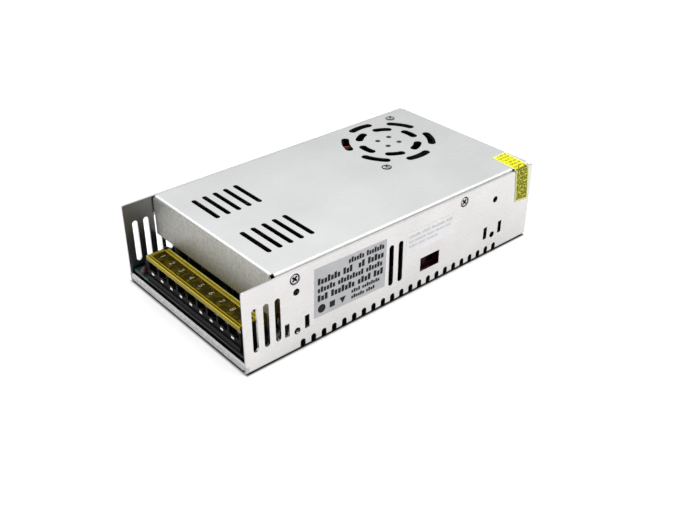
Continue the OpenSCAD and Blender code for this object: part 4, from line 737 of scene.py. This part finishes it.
@dataclass
class Stickers(Pieces):
    """The label and the clear film on the near wall, and the seal over the cover's edge."""

    label_tilt: float = math.radians(-1.5)
    ink_t: float = 0.02 * MM
    block_share: float = 0.8
    space: float = 0.8
    mark_r_mm: float = 2.6
    seal_w: float = 12.4 * MM
    seal_across: int = 10
    seal_along: int = 60
    seal_t: float = 0.1 * MM
    seal_lift: float = 0.06 * MM
    seam_below: float = 0.6 * MM
    seam_above: float = 0.35 * MM
    seam_step: float = 0.5 * MM
    bend_in: Pair = (1.0 * MM, 2.6 * MM)
    bend_drop: float = 0.25 * MM
    crease_l: float = 3.0 * MM
    crease_bulge: float = 0.1 * MM
    crease_waist: float = 0.06
    ripple_h: float = 0.25 * MM
    ripple_l: float = 0.7 * MM
    ripple_slant: float = 19.0
    foot_skew: float = 1.2 * MM
    foot_share: float = 0.3

    # The seal's middle line along X at its stops, and the way that its fold stands out
    SEAL_X_MM: ClassVar[tuple[float, ...]] = (100.1, 97.7, 97.5, 97.4, 97.5, 99.2)
    FOLD_OUT: ClassVar[tuple[float, float, float]] = (0.0, -0.7, 0.7)
    # Heights of the blocks in turn, as shares of the row's, and the rows and plain shapes of print
    RISES: ClassVar[tuple[float, ...]] = (1.0, 0.74, 0.74, 1.0, 0.74, 1.0, 0.74)
    LABEL_ROWS: ClassVar[tuple[PrintRow, ...]] = (
        PrintRow(-2.0, 23.4, 10.0, 3.3, (6, 7)),
        PrintRow(-22.8, 1.0, 4.6, 4.0, (7, 3)),
        PrintRow(5.0, 23.4, 4.6, 4.0, (2, 5)),
        PrintRow(-22.8, 22.6, -0.2, 3.4, (6, 9, 6)),
        PrintRow(-22.8, 23.4, -5.6, 4.0, (3, 7, 4, 3)),
        PrintRow(0.5, 21.0, -9.4, 2.4, (4, 8)),
        PrintRow(0.5, 17.5, -13.0, 2.4, (6, 4)),
    )
    LABEL_MARKS: ClassVar[tuple[tuple[float, float, int], ...]] = (
        (-20.0, -10.4, 24), (-12.8, -10.4, 4), (-5.6, -10.4, 3))
    NOTICE_ROWS: ClassVar[tuple[PrintRow, ...]] = (
        PrintRow(-17.0, 17.0, 3.0, 1.8, (6, 4, 7, 3)),
        PrintRow(-17.0, 16.0, 0.0, 1.5, (3, 8, 5, 6, 4)),
        PrintRow(-17.0, 6.0, -3.0, 1.5, (5, 4, 7)),
    )

    def build(self) -> None:
        """Dress the stickers and lay their print."""
        # Metallised label stock: silver grey with a faint sheen
        self.dress(Finish(
            "silver_label_stock", "#c8c8cb", "#bfbfc3", (0.36, 0.46), 0.6, 14, relief=0.05,
            metallic=0.25), "rating_label")
        # Clear polyester over the sheet: hardly darker than the metal below it
        self.dress(Finish(
            "clear_film_on_sheet", "#dedddf", "#d6d5d7", (0.26, 0.34), 0.6, 18, relief=0.04,
            metallic=0.85), "notice_film")
        # Screen ink: dull black on the label, pale grey on the film
        ink = Finish(
            "black_label_ink", "#0b0b0d", "#141417", (0.5, 0.62), 0.4, 5, relief=0.05, specular=0.2)
        faint = Finish(
            "faint_film_ink", "#c6c5c8", "#bdbcbf", (0.4, 0.5), 0.4, 5, relief=0.05, metallic=0.6)
        self.print_sheet(
            "label_print", "rating_label", self.label_tilt, self.LABEL_ROWS, self.LABEL_MARKS, ink,
            "label_foil")
        self.print_sheet(
            "notice_print", "notice_film", 0.0, self.NOTICE_ROWS, (), faint, "clear_film")
        self.build_seal()

    def print_sheet(self, name: str, node: str, tilt: float, rows: tuple[PrintRow, ...],
                    marks: tuple[tuple[float, float, int], ...], ink: Finish, slot: str) -> None:
        """Print rows of blocks and plain shapes on a sticker of the near wall.

        Args:
            name: The piece's name.
            node: The sticker.
            tilt: The sticker's tilt, seen from outside.
            rows: The rows of blocks.
            marks: The place on the sheet and the number of corners of each plain shape.
            ink: The finish of the print.
            slot: The record's material slot.
        """
        low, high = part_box(node)
        middle = (low + high) / 2
        sheet = Matrix.Translation((middle.x, low.y, middle.z)) @ Matrix.Rotation(-tilt, 4, "Y")
        mesh = bmesh.new()
        for row in rows:
            self.print_row(mesh, sheet, row)
        for u, v, corners in marks:
            place = Matrix.Translation((u * MM, 0, v * MM)) @ Matrix.Rotation(math.pi / 2, 4, "X")
            turn = Matrix.Rotation(math.pi / corners, 4, "Z")
            radius = self.mark_r_mm * MM
            bmesh.ops.create_cone(
                mesh, cap_ends=True, segments=corners, radius1=radius, radius2=radius,
                depth=2 * self.ink_t, matrix=sheet @ place @ turn)
        self.keep(mesh, name, ink, Body.CASE, slot)

    def print_row(self, mesh: bmesh.types.BMesh, sheet: Matrix, row: PrintRow) -> None:
        """Print one row of thin upright blocks.

        Args:
            mesh: The mesh that gets the blocks.
            sheet: The place of the sticker's middle.
            row: The row.
        """
        count = sum(row.words) + self.space * (len(row.words) - 1)
        advance = (row.right_mm - row.left_mm) / count
        wide = advance * self.block_share
        left = row.left_mm
        for letters in row.words:
            for k in range(letters):
                tall = row.height_mm * self.RISES[(k + letters) % len(self.RISES)]
                middle = ((left + wide / 2) * MM, 0, (row.base_mm + tall / 2) * MM)
                size = Matrix.Diagonal((wide * MM, 2 * self.ink_t, tall * MM, 1))
                place = sheet @ Matrix.Translation(middle) @ size
                bmesh.ops.create_cube(mesh, size=1, matrix=place)
                left += advance
            left += advance * self.space

    def build_seal(self) -> None:
        """Lay the seal from the cover over the seam and down the wall, creased where it folds."""
        low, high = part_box("seal_sticker")
        mesh = bmesh.new()
        mesh.loops.layers.uv.new("sheet")
        bmesh.ops.create_grid(
            mesh, x_segments=self.seal_across, y_segments=self.seal_along, size=0.5, calc_uvs=True)
        stops = self.seal_path(low, high)
        for vertex in mesh.verts:
            vertex.co = self.seal_place(vertex.co.x, vertex.co.y + 0.5, stops)
        # Printed paper: strong yellow, matt, with dark marks along its fold
        paper = SealPaper(
            "yellow_seal_paper", "#f3f12a", "#e6e31d", (0.5, 0.65), 0.3, 3, relief=0.2,
            specular=0.2)
        piece = self.keep(mesh, "seal", paper, Body.CASE, "seal_paper")
        for polygon in piece.data.polygons:
            polygon.use_smooth = True
        skin = piece.modifiers.new("paper", "SOLIDIFY")
        skin.thickness = self.seal_t
        skin.offset = 1.0
        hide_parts("seal_sticker")

    def seal_path(self, low: Vector, high: Vector) -> list[Vector]:
        """Draw the seal's middle line up the wall, over the seam and onto the cover.

        Args:
            low: The lowest corner of the seal's solid.
            high: The highest corner of the seal's solid.

        Returns:
            The stops of the line, from the seal's foot on the wall.
        """
        wall_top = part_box("chassis")[1].z
        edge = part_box("top_cover")[0].y
        profile = (
            (low.y, low.z),
            (low.y, wall_top - self.seam_below),
            (low.y + self.seam_step, wall_top + self.seam_above),
            (edge + self.bend_in[0], high.z - self.bend_drop),
            (edge + self.bend_in[1], high.z - self.seal_lift),
            (high.y, high.z - self.seal_lift),
        )
        return [Vector((x * MM, y, z)) for x, (y, z) in zip(self.SEAL_X_MM, profile)]

    def seal_place(self, across: float, along: float, stops: list[Vector]) -> Vector:
        """Find the place of a point of the seal.

        Args:
            across: From minus to plus a half over its width.
            along: From nought at the foot on the wall to one at the end on the cover.
            stops: The stops of its middle line.

        Returns:
            The place, narrowed and rippled near the crease.
        """
        lengths = [(b - a).length for a, b in zip(stops, stops[1:])]
        run = along * sum(lengths)
        left = run
        step = 0
        while step < len(lengths) - 1 and left > lengths[step]:
            left -= lengths[step]
            step += 1
        centre = stops[step].lerp(stops[step + 1], left / lengths[step])
        fold = run - sum(lengths[:2])
        crease = math.exp(-((fold / self.crease_l) ** 2))
        wave = math.sin(across * self.ripple_slant + fold / self.ripple_l)
        width = self.seal_w * (1 - self.crease_waist * crease)
        out = Vector(self.FOLD_OUT) * (crease * self.ripple_h * wave + self.crease_bulge * crease)
        skew = across * self.foot_skew * (1 - 2 * along) if along < self.foot_share else 0.0
        return centre + Vector((across * width, 0, 0)) + out - Vector((0, 0, skew))


@dataclass
class Fan(Pieces):
    """The fan below the grille, with its leads and the label on its motor."""

    sticker_r: float = 12.4 * MM
    sticker_t: float = 0.1 * MM
    sticker_sides: int = 48
    motor_drop: float = 1.4 * MM

    def build(self) -> None:
        """Dress the fan and label its motor."""
        self.dress(FAN_PBT, "fan_frame")
        self.dress(ROTOR_PBT, "fan_rotor")
        self.dress(STATOR_COPPER, "fan_stator")
        self.dress(RED_PVC, "fan_lead_red")
        self.dress(BLACK_PVC, "fan_lead_black")
        self.dress(WHITE_NYLON, "fan_plug")
        low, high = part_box("fan_frame")
        middle = (low + high) / 2
        mesh = bmesh.new()
        bmesh.ops.create_circle(
            mesh, cap_ends=True, segments=self.sticker_sides, radius=self.sticker_r)
        sheet = bmesh.ops.extrude_face_region(mesh, geom=mesh.faces[:])
        risen = [v for v in sheet["geom"] if isinstance(v, bmesh.types.BMVert)]
        bmesh.ops.translate(mesh, verts=risen, vec=(0, 0, self.sticker_t))
        foot = Vector((middle.x, middle.y, high.z - self.motor_drop))
        bmesh.ops.translate(mesh, verts=mesh.verts, vec=foot)
        # Coated paper in grey with a dark blue and a pale field
        near = ("Y", foot.y - self.sticker_r, foot.y)
        blue = Patch("#1a2060", 0.45, (near, ("X", foot.x - self.sticker_r, foot.x)))
        pale = Patch("#b4b6ba", 0.45, (near, ("X", foot.x, foot.x + self.sticker_r)))
        paper = Finish(
            "fan_label_paper", "#6c6e72", "#5e6064", (0.4, 0.5), 0.4, 4, patches=(blue, pale))
        self.keep(mesh, "fan_label", paper, Body.CASE, "label_foil")


@dataclass
class Board(Pieces):
    """The circuit board and what carries it."""

    resist_y: float = 60.0 * MM

    def build(self) -> None:
        """Dress the board, its standoffs, screws and insulating sheet."""
        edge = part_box("circuit_board")[0].x
        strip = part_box("terminal_block")
        # Laminate: green mask over tracks that show as paler lanes, painted near black as painted
        # shade under and before the strip
        strip_painted_shade = Patch("#070b0b", 0.5, (
            ("X", edge - MM, strip[1].x), ("Y", -self.resist_y, strip[1].y)))
        lanes = Bands("#1a4b40", 5.0, "DIAGONAL", 0.55)
        self.dress(Finish(
            "green_masked_laminate", "#11382f", "#0b2a23", (0.3, 0.45), 0.4, 9, specular=0.25,
            bands=lanes, patches=(strip_painted_shade,)), "circuit_board")
        self.dress(POLYESTER_SHEET, "insulating_film")
        self.dress(TURNED_BRASS, "standoffs")
        self.dress(ZINC_STEEL, "board_screws")


@dataclass
class Electronics(Pieces):
    """The mains input, the power stage, the output stage and the control parts on the board."""

    sleeve_gap: float = 0.7 * MM
    fuse_cap_l: float = 5.5 * MM
    leg_h: float = 3.5 * MM
    chip_leg_h: float = 0.5 * MM
    device_body_h: float = 9.2 * MM

    def build(self) -> None:
        """Dress the parts on the board."""
        self.dress(YELLOW_BOX, "film_capacitor")
        self.dress(GREEN_CORE, "filter_choke_core")
        self.dress(YELLOW_CORE, "output_choke_core")
        self.dress(ENAMELLED_COPPER, "filter_choke_winding", "output_choke_winding")
        self.dress(DARK_LACQUER, "thermistor")
        self.dress(BLUE_LACQUER, "disc_capacitors")
        self.dress(ZINC_STEEL, "fuse_clips", "device_screws")
        self.dress(HEATSINK_METAL, "primary_heatsink", "secondary_heatsink")
        self.dress(SILICONE_PAD, "device_pads")
        self.dress(FERRITE, "transformer_core")
        self.dress(BLACK_PHENOLIC, "transformer_bobbin")
        self.dress(WINDING_TAPE, "transformer_winding", "driver_transformer")
        self.dress_cans()
        self.dress_legged()
        self.dress_fuse()

    def dress_cans(self) -> None:
        """Dress the electrolytic capacitors: printed sleeves, with the can's bare end on top."""
        sleeves = {"bulk_capacitors": "#14182c", "output_capacitors": "#20281c",
                   "small_capacitors": "#161a30"}
        for node, colour in sleeves.items():
            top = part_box(node)[1].z
            bare = ("Z", top - self.sleeve_gap, top + self.sleeve_gap)
            end = Patch(BARE_METAL, 0.35, (bare,), 1.0)
            self.dress(Finish(
                f"sleeved_can_{node}", colour, colour, (0.25, 0.36), 0.5, 8, patches=(end,)), node)

    def dress_legged(self) -> None:
        """Dress the moulded devices: black epoxy on tinned legs, with a tinned tab above some."""
        tabbed = ("power_transistors", "output_rectifiers")
        for node in ("bridge_rectifier", "control_chip", *tabbed, "resistors"):
            foot, top = (corner.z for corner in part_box(node))
            leg_h = self.chip_leg_h if node == "control_chip" else self.leg_h
            tin = ("Z", foot, foot + leg_h)
            if node in tabbed:
                tin = ("Z", foot + self.leg_h + self.device_body_h, top)
            body = ("#a08a63", "#8f7a55") if node == "resistors" else ("#141416", "#1c1c1f")
            self.dress(Finish(
                f"moulded_epoxy_{node}", *body, (0.4, 0.55), 0.35, 4, specular=0.3,
                patches=(Patch(BARE_METAL, 0.35, (tin,), 1.0),)), node)

    def dress_fuse(self) -> None:
        """Dress the fuse: a glass tube between plated caps."""
        low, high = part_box("input_fuse")
        caps = tuple(Patch(BARE_METAL, 0.3, (("X", start, start + self.fuse_cap_l),), 1.0)
                     for start in (low.x, high.x - self.fuse_cap_l))
        glass = Finish("glass_tube_fuse", "#c9d6d4", "#bfcdcb", (0.05, 0.1), 0.5, 6, patches=caps)
        self.dress(glass, "input_fuse")


@dataclass(frozen=True)
class Lamp:
    """A soft lamp that faces the object. Only a mirrored one shows in metal."""

    name: str
    place: tuple[float, float, float]
    sides: Pair
    power: float
    mirrored: bool = False

    def hang(self) -> None:
        """Add the lamp to the scene."""
        data = bpy.data.lights.new(self.name, "AREA")
        data.shape = "RECTANGLE"
        data.size, data.size_y = self.sides
        data.energy = self.power
        lamp = bpy.data.objects.new(self.name, data)
        lamp.location = self.place
        lamp.rotation_euler = (-Vector(self.place)).to_track_quat("-Z", "Y").to_euler()
        lamp.visible_glossy = self.mirrored
        bpy.context.scene.collection.objects.link(lamp)


@dataclass
class Studio:
    """A pale floor, soft light from above and the photograph's camera."""

    azimuth: float = math.radians(-41.031)
    elevation: float = math.radians(32.238)
    roll: float = math.radians(0.214)
    camera_at: tuple[float, float, float] = (-299.27 * MM, -350.54 * MM, 286.81 * MM)
    focal_px: float = 892.85
    image_w_px: int = 686
    sensor_w_mm: float = 36.0
    sky_light: float = 0.3
    mirror_z: Pair = (0.36, 0.52)
    mirror_light: Pair = (0.68, 1.25)
    floor_half: float = 1.6
    floor_glow: float = 0.34
    footprint: Pair = (107.5 * MM, 57.5 * MM)
    contact: Pair = (-0.8 * MM, 1.0 * MM)
    floor_colours: tuple[str, str] = ("#141414", "#ececec")

    # Broad lamps light the object, and narrow ones draw bright lines along the cover's folds
    LAMPS: ClassVar[tuple[Lamp, ...]] = (
        Lamp("key", (1.7, -1.5, 2.3), (2.0, 2.0), 20.0),
        Lamp("fill", (-1.6, 1.9, 2.0), (1.8, 1.8), 14.0),
        Lamp("overhead", (0.9, -0.2, 3.2), (2.2, 2.2), 48.0),
        Lamp("front", (-2.0, 0.7, 1.3), (1.2, 1.2), 16.0),
        Lamp("long_fold_strip", (1.83, -0.66, 2.67), (0.4, 1.3), 14.0, mirrored=True),
        Lamp("cross_fold_strip", (-0.17, 2.1, 2.53), (0.4, 1.1), 9.0, mirrored=True),
    )

    def build(self) -> None:
        """Set up the floor, the light and the camera."""
        bpy.context.scene.view_settings.view_transform = "Standard"
        self.build_world()
        self.build_floor()
        for lamp in self.LAMPS:
            lamp.hang()
        self.build_camera()

    def seen(self, tree: Tree) -> Socket:
        """Tell the rays that look at a thing from those that light it.

        Args:
            tree: The node tree that asks.

        Returns:
            A socket that is one where the camera, a reflection or clear plastic looks.
        """
        path = add_node(tree, "ShaderNodeLightPath")
        total = path.outputs["Is Camera Ray"]
        for kind in ("Is Glossy Ray", "Is Transmission Ray"):
            total = add_node(tree, "ShaderNodeMath", (total, path.outputs[kind]),
                             operation="ADD", use_clamp=True).outputs["Value"]
        return total

    def build_world(self) -> None:
        """Light the scene from all round: white to look at, graded down in reflections."""
        world = bpy.data.worlds.new("studio")
        bpy.context.scene.world = world
        world.use_nodes = True
        tree = world.node_tree
        split = add_node(tree, "ShaderNodeSeparateXYZ", {
            "Vector": add_node(tree, "ShaderNodeTexCoord").outputs["Generated"]})
        change = tuple(light - 1 for light in self.mirror_light)
        mirrored = add_node(tree, "ShaderNodeMapRange", (
            split.outputs["Z"], *self.mirror_z, *change))
        glossy = add_node(tree, "ShaderNodeLightPath").outputs["Is Glossy Ray"]
        shown = add_node(tree, "ShaderNodeMath", (glossy, mirrored, 1.0), operation="MULTIPLY_ADD")
        strength = add_node(tree, "ShaderNodeMapRange", (
            self.seen(tree), 0.0, 1.0, self.sky_light, shown))
        light = tree.nodes["Background"]
        light.inputs["Color"].default_value = linear("#ffffff")
        tree.links.new(strength.outputs["Result"], light.inputs["Strength"])

    def build_floor(self) -> None:
        """Lay a floor that is white to look at, keeps the shadow, and has a painted contact shadow
        round the object.
        """
        mesh = bmesh.new()
        bmesh.ops.create_grid(mesh, x_segments=1, y_segments=1, size=self.floor_half)
        data = bpy.data.meshes.new("floor")
        mesh.to_mesh(data)
        mesh.free()
        paint = bpy.data.materials.new("pale_studio_floor")
        paint.use_nodes = True
        tree = paint.node_tree
        tree.nodes.remove(tree.nodes["Principled BSDF"])
        split = add_node(tree, "ShaderNodeSeparateXYZ", {
            "Vector": add_node(tree, "ShaderNodeTexCoord").outputs["Object"]})
        gaps = []
        for axis, half in zip("XY", self.footprint):
            aside = add_node(tree, "ShaderNodeMath", (split.outputs[axis],), operation="ABSOLUTE")
            gaps.append(add_node(tree, "ShaderNodeMath", (aside, half), operation="SUBTRACT"))
        outside = add_node(tree, "ShaderNodeMath", tuple(gaps), operation="MAXIMUM")
        # Painted contact shadow: the floor is painted dark, and its glow cut, under the object and
        # in a thin band round its footprint
        clear = add_node(tree, "ShaderNodeMapRange", (outside, *self.contact))
        below, beside = (linear(colour) for colour in self.floor_colours)
        tone = add_node(tree, "ShaderNodeMix", {MIX_FACTOR: clear, MIX_A: below, MIX_B: beside},
                        data_type="RGBA")
        matt = add_node(tree, "ShaderNodeBsdfDiffuse", {"Color": tone.outputs[MIX_RESULT]})
        seen = add_node(tree, "ShaderNodeMath", (self.seen(tree), clear), operation="MULTIPLY")
        shine = add_node(tree, "ShaderNodeMath", (seen, self.floor_glow), operation="MULTIPLY")
        glow = add_node(tree, "ShaderNodeEmission", {"Strength": shine})
        both = add_node(tree, "ShaderNodeAddShader", (matt, glow))
        tree.links.new(both.outputs[0], tree.nodes["Material Output"].inputs["Surface"])
        data.materials.append(paint)
        floor = bpy.data.objects.new("floor", data)
        bpy.context.scene.collection.objects.link(floor)

    def build_camera(self) -> None:
        """Place the camera as the photograph's was."""
        data = bpy.data.cameras.new("photo_camera")
        data.sensor_width = self.sensor_w_mm
        data.lens = self.focal_px / self.image_w_px * self.sensor_w_mm
        flat = math.cos(self.elevation)
        back = Vector((math.sin(self.azimuth) * flat, -math.cos(self.azimuth) * flat,
                       math.sin(self.elevation)))
        right = Vector((0, 0, 1)).cross(back).normalized()
        up = back.cross(right)
        axes = Matrix((right, up, back)).transposed().to_4x4()
        camera = bpy.data.objects.new("photo_camera", data)
        roll = Matrix.Rotation(self.roll, 4, "Z")
        camera.matrix_world = Matrix.Translation(self.camera_at) @ axes @ roll
        bpy.context.scene.collection.objects.link(camera)
        bpy.context.scene.camera = camera


def main() -> None:
    """Build the studio and dress every sub-assembly."""
    logging.basicConfig(level=logging.INFO, format="%(message)s")
    for part in (Studio(), Case(), TerminalStrip(), Adjusters(), Stickers(), Fan(), Board(),
                 Electronics()):
        LOG.info("building %s", type(part).__name__)
        part.build()
    bpy.context.view_layer.update()


if __name__ == "__main__":
    main()
